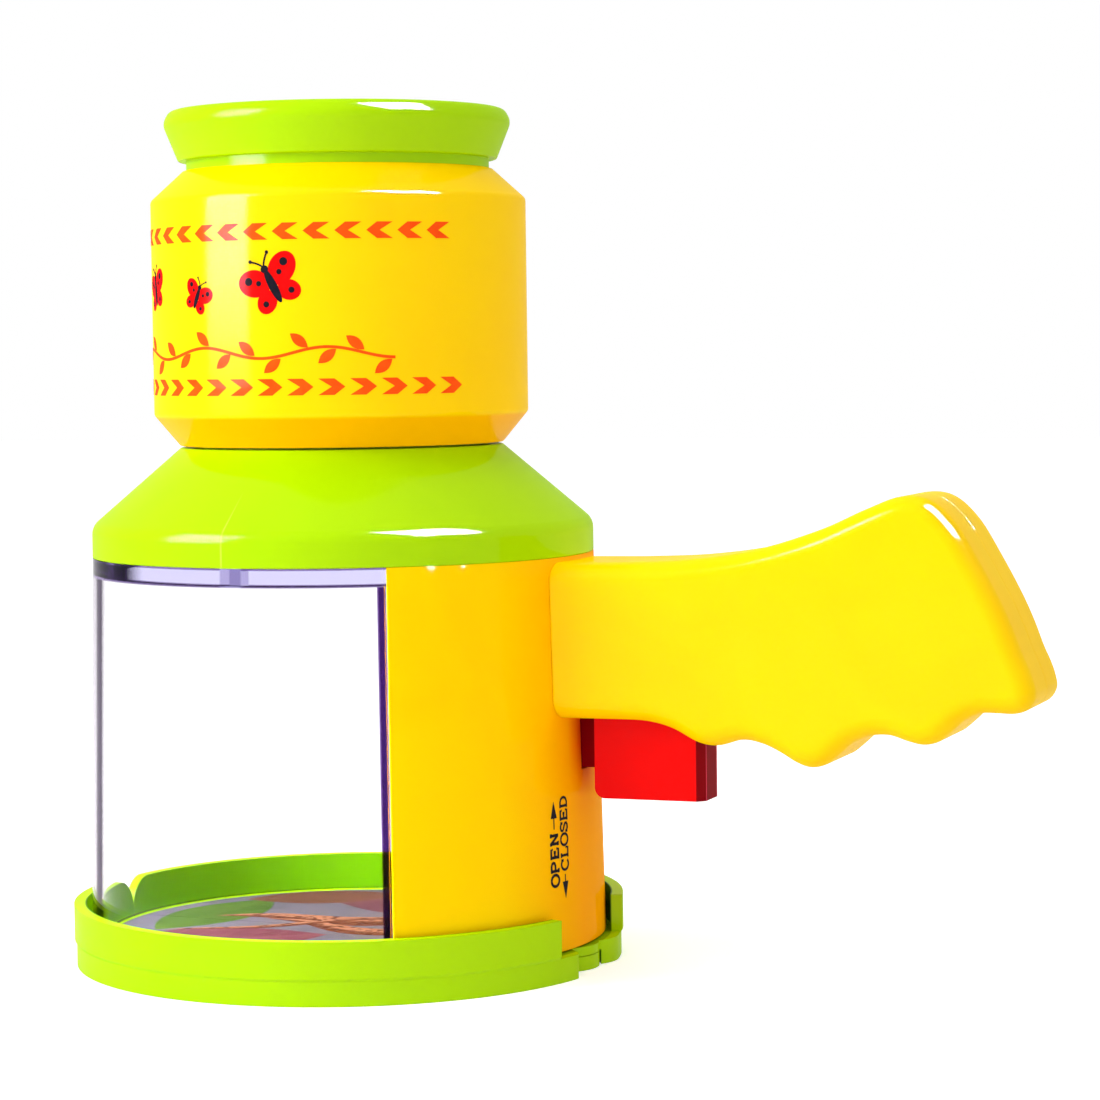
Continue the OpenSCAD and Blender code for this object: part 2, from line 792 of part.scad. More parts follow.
// Plan of a jaw: its part of the disc, cut back and rounded beside the hinge
module jaw_plan(side, disc_r) {
    turn = side < 0 ? relief_a : 0;
    corner_r = side < 0 ? near_corner_r : far_corner_r;
    edge = seam_gap / 2;
    axis = jar_axis(side, turn);
    reach = disc_r - corner_r;
    rise = edge + corner_r - axis[1];
    corner = [axis[0] + sqrt(reach * reach - rise * rise), edge + corner_r];
    beyond = corner + 2 * corner_r * (corner - axis) / norm(corner - axis);
    difference() {
        intersection() {
            translate(jar_axis(side, 0))
                circle(r = disc_r);
            translate([-2 * disc_r, edge])
                square(4 * disc_r);
        }
        rotate([0, 0, turn]) {
            translate([0, edge - disc_r])
                square(disc_r);
            polygon([corner, [corner[0], edge - cut], [beyond[0] + cut, edge - cut],
                [beyond[0] + cut, beyond[1]], beyond]);
        }
    }
    rotate([0, 0, turn])
        translate(corner)
            circle(r = corner_r);
}

module jaw_wall(side) {
    first_a = side < 0 ? -180 - past_seam_a : far_end_a;
    last_a = side < 0 ? -near_end_a : 180 + past_seam_a;
    intersection() {
        sector(first_a, last_a)
            polygon([
                [jaw_wall_r - jaw_wall_t, floor_t - card_pocket],
                [floor_r - fit, floor_t - card_pocket],
                [floor_r - fit, floor_t - card_pocket / 2],
                [jaw_wall_r, floor_t + jaw_wall_r - floor_r],
                [jaw_wall_r, floor_t + jaw_wall_h],
                [jaw_wall_r - jaw_wall_t, floor_t + jaw_wall_h]]);
        jaw_frame(side)
            translate([-3 * jaw_wall_r, seam_gap / 2, 0])
                cube([4 * jaw_wall_r, 2 * jaw_wall_r, 2 * jaw_wall_h + floor_t]);
    }
}

// Share of its radius by which a rounding crosses the faces beside it
crease = 0.01;

// Rounds the wall's upper corner where the jaws' tips meet
module tip_corner(side)
    jaw_frame(side)
        translate([-hinge_x - jaw_wall_r, seam_gap / 2,
            floor_t + jaw_wall_h - tip_corner_r])
            difference() {
                block([-jaw_wall_t, -seam_gap, 0],
                    [hub_r + 2 * jaw_wall_t, tip_corner_r, tip_corner_r + cut]);
                rod_x(tip_corner_r, -2 * jaw_wall_t, hub_r + 3 * jaw_wall_t,
                    tip_corner_r * (1 - crease), tip_corner_r * crease);
            }

// Curved arm that rises behind the mechanism cover, about the hinge
module jaw_arm(side) {
    inner_r = side < 0 ? arm_r : far_arm_r;
    translate([hinge_x, 0, 0])
        mirror([0, side < 0 ? 1 : 0, 0])
            difference() {
                union() {
                    sector(180 - arm_own_a, 180 + open_a + arm_past_a)
                        translate([inner_r, floor_t + slide_gap])
                            square([arm_t, arm_top_z - floor_t - slide_gap]);
                    sector(180 - arm_own_a, 180 - 2 * seam_a)
                        translate([inner_r, floor_t / 2])
                            square([arm_t, floor_t]);
                }
                hull()
                    for (k = [0, 1])
                        rotate([0, 0, 180 + k * open_a])
                            rod_x(cam_pin_r + lift_gap, inner_r - arm_t / 2,
                                inner_r + 1.5 * arm_t, 0, cam_z + k * travel, $fn = 32);
            }
}

card_edge = 0.6;
card_relief_r = arm_outer_r + card_edge;

// Plan of a floor card, or of its pocket
module card_plan(side, grow)
    jaw_frame(side)
        difference() {
            intersection() {
                translate(jar_axis(side, 0))
                    circle(r = card_r + grow);
                translate([-2 * card_r, seam_gap / 2 + card_edge - grow])
                    square(4 * card_r);
            }
            circle(r = card_relief_r - grow);
        }

head_reach = 1.6;
head_r = hinge_pin_r + head_reach;
head_t = 1;
head_z = 0.2;

module jaw(side) {
    hub_z = side < 0 ? 0 : hub_split_z;
    hub_top_z = side < 0 ? low_hub_h : floor_t;
    other_z = side < 0 ? low_hub_h : -cut;
    other_top_z = side < 0 ? floor_t + cut : hub_split_z;
    difference() {
        union() {
            difference() {
                linear_extrude(floor_t)
                    jaw_frame(side)
                        jaw_plan(side, floor_r);
                translate([hinge_x, 0, other_z])
                    cylinder(r = hub_r + lift_gap, h = other_top_z - other_z);
            }
            difference() {
                jaw_wall(side);
                tip_corner(side);
            }
            translate([hinge_x, 0, hub_z])
                cylinder(r = hub_r, h = hub_top_z - hub_z);
            jaw_arm(side);
        }
        translate([hinge_x, 0, -cut])
            cylinder(r = hinge_pin_r + run, h = floor_t + 2 * cut);
        translate([hinge_x, 0, -cut])
            cylinder(r = head_r + lift_gap, h = cut + head_z + head_t + hub_gap);
        translate([0, 0, floor_t - card_pocket])
            linear_extrude(card_pocket + cut)
                card_plan(side, fit);
    }
}

module near_jaw()
    color(leaf_green)
        jaw(-1);

module far_jaw()
    color(leaf_green)
        jaw(1);

module near_floor_card()
    color("#b9a6c4")
        translate([0, 0, floor_t - card_pocket + seat])
            linear_extrude(card_t)
                card_plan(-1, 0);

module far_floor_card()
    color("#b9a6c4")
        translate([0, 0, floor_t - card_pocket + seat])
            linear_extrude(card_t)
                card_plan(1, 0);

module hinge_pin()
    color(steel)
        translate([hinge_x, 0, head_z]) {
            cylinder(r = head_r, h = head_t);
            cylinder(r = hinge_pin_r, h = boss_top_z - head_z - cut - seat);
        }

// Handle. The outline runs clockwise from the root's upper corner, as shares of
// the handle's length and height, and a smooth curve passes through the points.

handle_x = 40;
root_top_share = 0.741;
root_low_share = 0.157;
root_top_z = handle_z + root_top_share * handle_h;
root_low_z = handle_z + root_low_share * handle_h;
outline_shares = [
    [0.146, 0.743], [0.291, 0.755], [0.437, 0.793], [0.570, 0.867], [0.665, 0.944],
    [0.735, 0.991], [0.794, 0.980], [0.845, 0.896], [0.891, 0.757], [0.931, 0.619],
    [0.955, 0.520], [0.973, 0.432], [0.987, 0.374], [0.996, 0.324], [0.999, 0.279],
    [0.985, 0.236], [0.959, 0.218], [0.925, 0.218], [0.891, 0.216], [0.860, 0.189],
    [0.836, 0.149], [0.809, 0.110], [0.779, 0.097], [0.748, 0.108], [0.711, 0.128],
    [0.672, 0.124], [0.638, 0.097], [0.609, 0.050], [0.583, 0.014], [0.553, 0.002],
    [0.524, 0.018], [0.490, 0.054], [0.454, 0.083], [0.413, 0.095], [0.364, 0.072],
    [0.322, 0.081], [0.267, 0.131], [0.212, 0.155], [0.146, 0.158]];
curve_n = 3;

// A point of the curve that passes through b and c, at the share t between them
function curve_point(a, b, c, d, t) =
    0.5 * (2 * b + (c - a) * t + (2 * a - 5 * b + 4 * c - d) * t * t
        + (3 * b - a - 3 * c + d) * t * t * t);

function smooth_curve(p, n) =
    let (last = len(p) - 1)
    [for (i = [0:last - 1]) for (k = [0:n - 1])
        curve_point(p[max(i - 1, 0)], p[i], p[i + 1], p[min(i + 2, last)], k / n),
        p[last]];

handle_curve = [for (p = smooth_curve(outline_shares, curve_n))
    [handle_x + p[0] * handle_l, handle_z + p[1] * handle_h]];

// Where the handle meets the jar wall, at the given y and height
function wall_x(y, z) = sqrt(pow(wall_r(z) + fit, 2) - y * y);

// The outline drawn in by an inset at the given y, from the jar wall or, inside,
// from the root wall
function handle_ring(inset, y, inside = false) =
    let (last = len(handle_curve) - 1,
        top_z = root_top_z - inset,
        low_z = root_low_z + inset)
    [[inside ? root_wall_x : wall_x(y, top_z), y, top_z],
        for (i = [0:last])
            let (way = handle_curve[min(i + curve_n, last)] - handle_curve[max(i - curve_n, 0)],
                inward = [way[1], -way[0]] / norm(way),
                p = handle_curve[i] + inset * inward)
            [p[0], y, p[1]],
        [inside ? root_wall_x : wall_x(y, low_z), y, low_z]];

// A closed solid through rings of points that run clockwise seen from the first
module loft(rings) {
    n = len(rings[0]);
    last = len(rings) - 1;
    sides = [for (r = [0:last - 1]) for (i = [0:n - 1])
        let (a = r * n + i, b = r * n + (i + 1) % n)
        each [[a, a + n, b + n], [a, b + n, b]]];
    first_end = [for (i = [0:n - 1]) i];
    last_end = [for (i = [0:n - 1]) last * n + n - 1 - i];
    polyhedron([for (ring = rings) each ring], concat(sides, [first_end, last_end]));
}

handle_half_w = handle_w / 2;
edge_n = 5;
side_n = 3;
part_line = 0.04;
handle_screw_shares = [[0.39, 0.37], [0.68, 0.54], [0.885, 0.45]];
handle_screws_at = [for (p = handle_screw_shares)
    [handle_x + p[0] * handle_l, handle_z + p[1] * handle_h]];
post_r = 3.2;
handle_screw_r = 1.25;
handle_head_r = 2.6;
handle_head_t = 1.6;
head_sink = 3;

// Half of the handle, without its screw holes, on the -Y side
module handle_half()
    difference() {
        union() {
            loft(concat(
                [for (k = [0:edge_n])
                    handle_ring(handle_edge_r * (1 - sin(90 * k / edge_n)),
                        -handle_half_w + handle_edge_r * (1 - cos(90 * k / edge_n)))],
                [for (k = [1:side_n])
                    handle_ring(0, -(handle_half_w - handle_edge_r) * (1 - k / side_n)
                        - part_line * k / side_n)],
                [handle_ring(shell_t, -part_line, true)],
                [handle_ring(shell_t, -handle_half_w + shell_t, true)]));
            for (p = handle_screws_at)
                rod_y(post_r, -handle_half_w + shell_t / 2, -part_line, p[0], p[1]);
        }
        centred_block(0, root_wall_x + cut, lug_neck_half_w + fit,
            lug_z - fit, lug_top_z + fit);
        centred_block(0, block_x + cut, slot_half_w,
            trigger_z, blade_top_z + travel + slide_gap);
        centred_block(block_x - slide_gap, block_end_x + slide_gap,
            trigger_w / 2 + slide_gap, trigger_z, root_low_z + shell_t + cut);
    }

module handle_near_shell()
    color(sun_yellow)
        difference() {
            handle_half();
            for (p = handle_screws_at)
                rod_y(handle_screw_r + seat, -handle_half_w + 1.5 * shell_t, cut, p[0], p[1]);
        }

module handle_far_shell()
    color(sun_yellow)
        difference() {
            mirror([0, 1, 0])
                handle_half();
            for (p = handle_screws_at) {
                rod_y(handle_screw_r + 2 * fit, -cut, handle_half_w + cut, p[0], p[1]);
                rod_y(handle_head_r + 2 * fit, handle_half_w - head_sink,
                    handle_half_w + cut, p[0], p[1]);
            }
        }

module handle_screws()
    color(steel)
        for (p = handle_screws_at)
            difference() {
                union() {
                    rod_y(handle_head_r, handle_half_w - head_sink + seat,
                        handle_half_w - head_sink + handle_head_t, p[0], p[1]);
                    rod_y(handle_screw_r, -handle_half_w + 2 * shell_t,
                        handle_half_w - head_sink + handle_head_t / 2, p[0], p[1]);
                }
                translate([p[0], handle_half_w - head_sink + handle_head_t, p[1]])
                    rotate([0, 0, -90])
                        cross_slot(0, 0, 0);
            }

collar();
viewer_drum();
eyepiece();
eyepiece_lens();
eyepiece_lens_ring();
objective_lens();
objective_lens_ring();
clear_window();
rear_column();
mechanism_cover();
cover_screws();
handle_near_shell();
handle_far_shell();
handle_screws();
trigger();
trigger_carriage();
blade_pin();
cam_pin();
trigger_spring();
near_jaw();
far_jaw();
near_floor_card();
far_floor_card();
hinge_pin();
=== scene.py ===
"""Looks of a hand-held insect jar: moulded yellow and green shells, a clear window, lenses,
a red trigger, and printed marks on the drum, the rear wall and the floor. All sizes in this
file are millimetres until a mesh is made, and angles are degrees unless said otherwise."""

import math

import bmesh
import bpy
import numpy as np
from mathutils import Matrix, Vector


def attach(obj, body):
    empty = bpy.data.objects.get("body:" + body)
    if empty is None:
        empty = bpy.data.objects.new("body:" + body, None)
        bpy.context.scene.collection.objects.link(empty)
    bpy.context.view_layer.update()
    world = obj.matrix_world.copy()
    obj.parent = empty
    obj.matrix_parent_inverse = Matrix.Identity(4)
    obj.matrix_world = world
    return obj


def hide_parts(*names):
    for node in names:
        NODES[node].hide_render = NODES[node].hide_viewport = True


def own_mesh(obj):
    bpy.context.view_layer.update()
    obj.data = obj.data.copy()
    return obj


MM = 0.001
DEGREE = math.radians(1)
MERGE_DISTANCE = 0.002

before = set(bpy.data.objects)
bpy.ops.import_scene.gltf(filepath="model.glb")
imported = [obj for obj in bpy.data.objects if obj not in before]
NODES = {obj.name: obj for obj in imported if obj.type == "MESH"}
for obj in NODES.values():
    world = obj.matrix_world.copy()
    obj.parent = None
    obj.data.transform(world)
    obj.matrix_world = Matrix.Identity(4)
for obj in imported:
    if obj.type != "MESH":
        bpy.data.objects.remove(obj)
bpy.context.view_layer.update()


# Sizes shared with the solids

DRUM_R = 32.05
WALL_FOOT_R, WALL_TOP_R = 44.4, 43.0
WALL_FOOT_Z, WALL_TOP_Z = 4.4, 69.8
HANDLE_HALF_W = 11.0
HANDLE_EDGE_R = 3.2
SHELL_T = 2.0
PART_LINE = 0.04
ROOT_WALL_X = 44.9
BLOCK_X, BLOCK_END_X = 46.9, 66.0
BLOCK_HALF_W = 4.3
TRIGGER_Z = 29.4


# Mesh code. A shape is its points and a list of arrays of corner numbers, one array for each
# number of corners that its faces have.


def quads(rows, cols, round_rows=False, round_cols=False):
    """Corner numbers of a grid's faces, where point (i, j) has the number i * cols + j. A round
    grid's last row or column joins its first."""
    i, j = np.meshgrid(
        np.arange(rows - (not round_rows)), np.arange(cols - (not round_cols)), indexing="ij"
    )
    after_i, after_j = (i + 1) % rows, (j + 1) % cols
    corners = [i * cols + j, after_i * cols + j, after_i * cols + after_j, i * cols + after_j]
    return np.stack(corners, -1).reshape(-1, 4)


def tube(points, whole=False):
    """The closed shape of a grid of points whose columns go round. A whole tube's last row joins
    its first, and the two ends of any other are a face each."""
    rows, cols = points.shape[:2]
    blocks = [quads(rows, cols, whole, True)]
    if not whole:
        first = np.arange(cols)
        blocks.append(np.stack([first, (first + (rows - 1) * cols)[::-1]]))
    return points.reshape(-1, 3), blocks


def joined(parts):
    """One shape out of several, each part's corner numbers moved on by the points before it."""
    starts = np.cumsum([0] + [len(points) for points, _ in parts])
    blocks = [block + start for (_, own), start in zip(parts, starts) for block in own]
    return np.vstack([points for points, _ in parts]), blocks


def linked(name, data):
    """An object with this data, at the scene's origin."""
    made = bpy.data.objects.new(name, data)
    bpy.context.scene.collection.objects.link(made)
    return made


def new_object(name, points, blocks):
    """An object at the origin with this shape, whose points are in millimetres."""
    mesh = bpy.data.meshes.new(name)
    faces = [face for block in blocks for face in np.asarray(block).tolist()]
    mesh.from_pydata((np.asarray(points, float) * MM).tolist(), [], faces)
    mesh.validate()
    return linked(name, mesh)


def merge_points(made, distance, outwards=False):
    """Merges points within distance and, if asked, turns a closed mesh's faces outwards."""
    bm = bmesh.new()
    bm.from_mesh(made.data)
    bmesh.ops.remove_doubles(bm, verts=bm.verts, dist=distance * MM)
    if outwards:
        bmesh.ops.recalc_face_normals(bm, faces=bm.faces)
    bm.to_mesh(made.data)
    bm.free()


def closed_object(name, points, blocks):
    """A new object of a closed shape, with its doubled points merged and its faces outwards."""
    made = new_object(name, points, blocks)
    merge_points(made, MERGE_DISTANCE, outwards=True)
    return made


def smooth(made, sharp_angle=32):
    """Smooth shading between faces that turn by less than sharp_angle, where a large face keeps
    its own direction."""
    made.data.shade_smooth()
    made.data.set_sharp_from_angle(angle=math.radians(sharp_angle))
    even = made.modifiers.new("even_normals", "WEIGHTED_NORMAL")
    even.keep_sharp = True


def dress(made, body, slot, *materials):
    """Gives a new piece its materials and the body that it rides on. Its slot is not used."""
    for material in materials:
        made.data.materials.append(material)
    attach(made, body)


def rounded(corners, steps=5):
    """A closed (r, z) outline whose corners (r, z, radius) become arcs. An arc's ends lie
    radius / tan(half the corner's angle) from the corner, and its centre lies on the line that
    halves the angle, at radius / sin(half)."""
    corners = np.asarray(corners, float)
    at, radius = corners[:, :2], corners[:, 2:]
    back, on = np.roll(at, 1, 0) - at, np.roll(at, -1, 0) - at
    back /= np.linalg.norm(back, axis=1, keepdims=True)
    on /= np.linalg.norm(on, axis=1, keepdims=True)
    half = np.arccos(np.clip((back * on).sum(1, keepdims=True), -1, 1)) / 2
    middle = back + on
    middle /= np.linalg.norm(middle, axis=1, keepdims=True)
    centre = at + middle * radius / np.sin(half)
    start = at + back * radius / np.tan(half) - centre
    end = at + on * radius / np.tan(half) - centre
    first = np.arctan2(start[:, 1], start[:, 0])
    turn = np.arctan2(end[:, 1], end[:, 0]) - first
    turn = (turn + np.pi) % (2 * np.pi) - np.pi
    angle = first[:, None] + turn[:, None] * np.linspace(0, 1, steps + 1)
    arcs = centre[:, None] + radius[:, None] * np.stack([np.cos(angle), np.sin(angle)], -1)
    points = arcs.reshape(-1, 2)
    apart = np.linalg.norm(points - np.roll(points, 1, 0), axis=1) > 1e-6
    return points[apart]


def lathe(outline, first=0.0, last=360.0, steps=180):
    """A closed (r, z) outline turned about the jar's axis: (r cos a, r sin a, z) with a from
    first to last."""
    whole = last - first >= 360
    rows = steps if whole else steps + 1
    angle = np.radians(first + (last - first) * np.arange(rows) / steps)[:, None]
    r, z = outline[None, :, 0], outline[None, :, 1]
    return tube(np.stack([r * np.cos(angle), r * np.sin(angle), z + 0 * angle], -1), whole)


def box_shape(low, high):
    """A box between two corners, used to cut openings."""
    low, high = np.asarray(low, float), np.asarray(high, float)
    share = np.indices((2, 2, 2)).reshape(3, 8).T
    faces = [[0, 1, 3, 2], [4, 6, 7, 5], [0, 4, 5, 1], [2, 3, 7, 6], [0, 2, 6, 4], [1, 5, 7, 3]]
    return low + share * (high - low), [np.array(faces)]


def turned_y(outline, x, z, steps=40):
    """A closed (r, y) outline turned about a line along Y through (x, z), for screw holes."""
    points, blocks = lathe(outline, steps=steps)
    return np.stack([x + points[:, 0], points[:, 2], z + points[:, 1]], -1), blocks


def cut_away(made, shapes):
    """Takes each closed shape out of the piece with an exact boolean and keeps the result."""
    cutters = [closed_object("cutter", *shape) for shape in shapes]
    for cutter in cutters:
        cutting = made.modifiers.new("cut", "BOOLEAN")
        cutting.operation, cutting.solver, cutting.object = "DIFFERENCE", "EXACT", cutter
    graph = bpy.context.evaluated_depsgraph_get()
    cut_mesh = bpy.data.meshes.new_from_object(made.evaluated_get(graph))
    made.modifiers.clear()
    made.data = cut_mesh
    for cutter in cutters:
        bpy.data.objects.remove(cutter)


def placed(centre, s, t, turn=0.0):
    """Points (s, t) turned by turn degrees and moved to centre."""
    c, d = math.cos(math.radians(turn)), math.sin(math.radians(turn))
    return np.stack([centre[0] + c * s - d * t, centre[1] + d * s + c * t], -1).reshape(-1, 2)


# Shader code


def feed(socket, value):
    """Joins another socket to this one, or puts a plain value on it. A colour may be given as
    three numbers."""
    if isinstance(value, bpy.types.NodeSocket):
        socket.id_data.links.new(value, socket)
    elif socket.type == "RGBA" and len(value) == 3:
        socket.default_value = (*value, 1)
    else:
        socket.default_value = value


def node(tree, kind, inputs=None, **settings):
    """A shader node with its settings, in the tree of a socket or in the tree itself. Its named
    or numbered inputs are fed. Kind is the node's type without its first word, ShaderNode."""
    made = tree.id_data.nodes.new("ShaderNode" + kind)
    for key, value in settings.items():
        setattr(made, key, value)
    for key, value in (inputs or {}).items():
        feed(made.inputs[key], value)
    return made


def calc(operation, *values, clamp=False):
    """The result of one operation on sockets or plain numbers."""
    known = next(value for value in values if isinstance(value, bpy.types.NodeSocket))
    inputs = dict(enumerate(values))
    return node(known, "Math", inputs, operation=operation, use_clamp=clamp).outputs[0]


def times(*values, clamp=False):
    """The product of two sockets or plain numbers."""
    return calc("MULTIPLY", *values, clamp=clamp)


def combined(operation, result, *values):
    """The result of one operation carried on over several values, two at a time."""
    for value in values:
        result = calc(operation, result, value)
    return result


def mix_colour(share, first, second):
    """A colour between first and second, by a share."""
    inputs = {0: share, 6: first, 7: second}
    return node(share, "Mix", inputs, data_type="RGBA").outputs[2]


def ramp(value, low, high, first=0.0, last=1.0, unit=1.0):
    """First below low, last above high, and a straight ramp between. Low may be the larger."""
    inputs = {0: value, 1: low * unit, 2: high * unit, 3: first, 4: last}
    return node(value, "MapRange", inputs).outputs[0]


def within(value, low, low_in, high_in, high, unit=1.0):
    """1 from low_in to high_in, 0 below low and above high, and straight ramps between."""
    return times(ramp(value, low, low_in, unit=unit), ramp(value, high, high_in, unit=unit))


def noise(place, scale, detail, distortion=0.0):
    """Cloudy noise about 0.5."""
    inputs = {"Vector": place, "Scale": scale, "Detail": detail, "Distortion": distortion}
    return node(place, "TexNoise", inputs).outputs[0]


def object_place(tree):
    """The piece's own coordinates, in metres."""
    return node(tree, "TexCoord").outputs["Object"]


def separate(place):
    """The x, y and z of a place."""
    return tuple(node(place, "SeparateXYZ", {0: place}).outputs)


def from_axis(x, y):
    """Distance from the jar's axis, sqrt(x x + y y)."""
    return calc("SQRT", calc("MULTIPLY_ADD", x, x, times(y, y)))


def bearing(x, y):
    """Angle round the jar's axis from +X, in radians."""
    return calc("ARCTAN2", y, x)


def absolute(value):
    """A value without its sign."""
    return calc("ABSOLUTE", value)


def new_group(name, inputs, outputs):
    """A shader node group. A plain value of one, three or four numbers makes a socket a float,
    a vector or a colour. Returns it with what it is given and what it puts out."""
    tree = bpy.data.node_groups.new(name, "ShaderNodeTree")
    for way, sockets in (("INPUT", inputs), ("OUTPUT", outputs)):
        for key, value in sockets.items():
            kind = "NodeSocket" + {1: "Float", 3: "Vector", 4: "Color"}[np.size(value)]
            tree.interface.new_socket(key, in_out=way, socket_type=kind).default_value = value
    given, put = (tree.nodes.new(f"NodeGroup{end}") for end in ("Input", "Output"))
    return tree, given.outputs, put.inputs


def moulded_skin():
    """Colour, roughness and height of a moulded surface: broad cloudy flow of the plastic
    between two tones, a fine even grain, and rare short scuffs that are duller."""
    tree, given, put = new_group(
        "moulded_skin",
        {"Tone": (1, 1, 1, 1), "Second Tone": (1, 1, 1, 1), "Flow Size": 45.0, "Gloss": 0.2},
        {"Colour": (0, 0, 0, 1), "Roughness": 0.0, "Height": 0.0},
    )
    place = object_place(tree)
    flow = noise(place, given["Flow Size"], 2.0, 1.2)
    grain = noise(place, 2600.0, 3.0)
    stretched = node(tree, "Mapping", {"Vector": place, "Scale": (90.0, 90.0, 900.0)})
    scuff = ramp(noise(stretched.outputs[0], 1.0, 4.0), 0.66, 0.78, 0.0, 0.14)
    colour = mix_colour(ramp(flow, 0.3, 0.7), given["Tone"], given["Second Tone"])
    dull = calc("MULTIPLY_ADD", grain, 0.06, -0.03)
    height = calc("MULTIPLY_ADD", flow, 0.7, times(grain, 0.02))
    feed(put["Colour"], colour)
    feed(put["Roughness"], combined("ADD", dull, given["Gloss"], scuff))
    feed(put["Height"], height)
    return tree


def floor_mark(name, more_inputs, output):
    """A group for one mark on the floor, with a mask and one more output. Returns it with the
    place along and across the mark, from its centre and turned level."""
    inputs = {"Place": (0, 0, 0), "Centre": (0, 0, 0), "Turn": 0.0, "Half Length": 0.02,
              "Half Width": 0.01, **more_inputs}
    tree, given, put = new_group(name, inputs, {"Mask": 0.0, output: 0.0})
    moved = node(tree, "VectorMath", {0: given["Place"], 1: given["Centre"]},
                 operation="SUBTRACT")
    turned = node(tree, "VectorRotate",
                  {"Vector": moved.outputs[0], "Angle": given["Turn"]}, rotation_type="Z_AXIS")
    x, y, _ = separate(turned.outputs[0])
    return tree, given, put, x, y


def narrowing(u):
    """1 - u u: 1 at a mark's middle and 0 at its tips."""
    return calc("SUBTRACT", 1.0, times(u, u))


def leaf_mark():
    """Mask and veins of one leaf on the floor's plane: inside where |v| < 1 - u u, with u along
    the leaf and v across it, both as shares of its half sizes."""
    tree, given, put, x, y = floor_mark("leaf_mark", {}, "Vein")
    u = calc("DIVIDE", x, given["Half Length"])
    v = absolute(calc("DIVIDE", y, given["Half Width"]))
    room = calc("SUBTRACT", narrowing(u), v)
    feed(put["Mask"], times(room, 18.0, clamp=True))
    slant = calc("SUBTRACT", u, times(v, 0.35))
    wave = calc("SINE", times(slant, 26.0))
    side = calc("GREATER_THAN", wave, 0.93)
    feed(put["Vein"], calc("MAXIMUM", side, calc("LESS_THAN", v, 0.06)))
    return tree


def twig_mark():
    """Mask of one bent twig on the floor's plane: inside where |y - bend * sin(x * wave)| is under
    a half width that thins towards both ends."""
    tree, given, put, x, y = floor_mark("twig_mark", {"Bend": 0.001}, "Side")
    wave = calc("SINE", times(x, 190.0))
    y = calc("SUBTRACT", y, times(wave, given["Bend"]))
    u = calc("DIVIDE", x, given["Half Length"])
    reach = times(narrowing(u), given["Half Width"])
    room = calc("SUBTRACT", reach, absolute(y))
    feed(put["Mask"], times(room, 9000.0, clamp=True))
    feed(put["Side"], calc("GREATER_THAN", y, 0.0))
    return tree


SKIN = moulded_skin()
LEAF = leaf_mark()
TWIG = twig_mark()


def new_material(name, plain):
    """A material, its tree and its shader's inputs, with plain values on some of these."""
    material = bpy.data.materials.new(name)
    material.use_nodes = True
    tree = material.node_tree
    shader = tree.nodes["Principled BSDF"].inputs
    for key, value in plain.items():
        feed(shader[key], value)
    return material, tree, shader


def plastic(name, tone, second_tone, flow_size=45.0, gloss=0.3, edge=0.3, bump=0.03, coat=0.15):
    """Moulded plastic: the skin group's colour, roughness and height, with edges that catch the
    light as if rounded by edge millimetres, under a clear gloss."""
    material, tree, shader = new_material(
        name, {"IOR": 1.5, "Specular IOR Level": 0.0, "Coat Weight": coat, "Coat Roughness": 0.07}
    )
    inputs = {"Tone": tone, "Second Tone": second_tone, "Flow Size": flow_size, "Gloss": gloss}
    skin = node(tree, "Group", inputs, node_tree=SKIN).outputs
    relief = {"Height": skin["Height"], "Strength": bump, "Distance": 0.3 * MM}
    if edge:
        soft_edge = node(tree, "Bevel", {"Radius": edge * MM}, samples=8)
        relief["Normal"] = soft_edge.outputs[0]
    feed(shader["Base Color"], skin["Colour"])
    feed(shader["Roughness"], skin["Roughness"])
    feed(shader["Normal"], node(tree, "Bump", relief).outputs[0])
    return material


def ink(name, tone, second_tone):
    """Printed ink: a thin even film, a little cloudy, duller than the plastic under it."""
    return plastic(name, tone, second_tone, 300.0, gloss=0.32, edge=0, bump=0.02, coat=0.08)


def let_lamps_through(material):
    """Lets shadow rays pass a clear material, with a slight loss."""
    tree = material.node_tree
    solid = tree.nodes["Principled BSDF"].outputs[0]
    passing = node(tree, "BsdfTransparent", {"Color": (0.76, 0.74, 0.80)}).outputs[0]
    shadow = node(tree, "LightPath").outputs["Is Shadow Ray"]
    either = node(tree, "MixShader", {0: shadow, 1: solid, 2: passing}).outputs[0]
    feed(tree.nodes["Material Output"].inputs["Surface"], either)
    return material


BAND_Z = 66.6
OUTER_FACE_R = 42.75


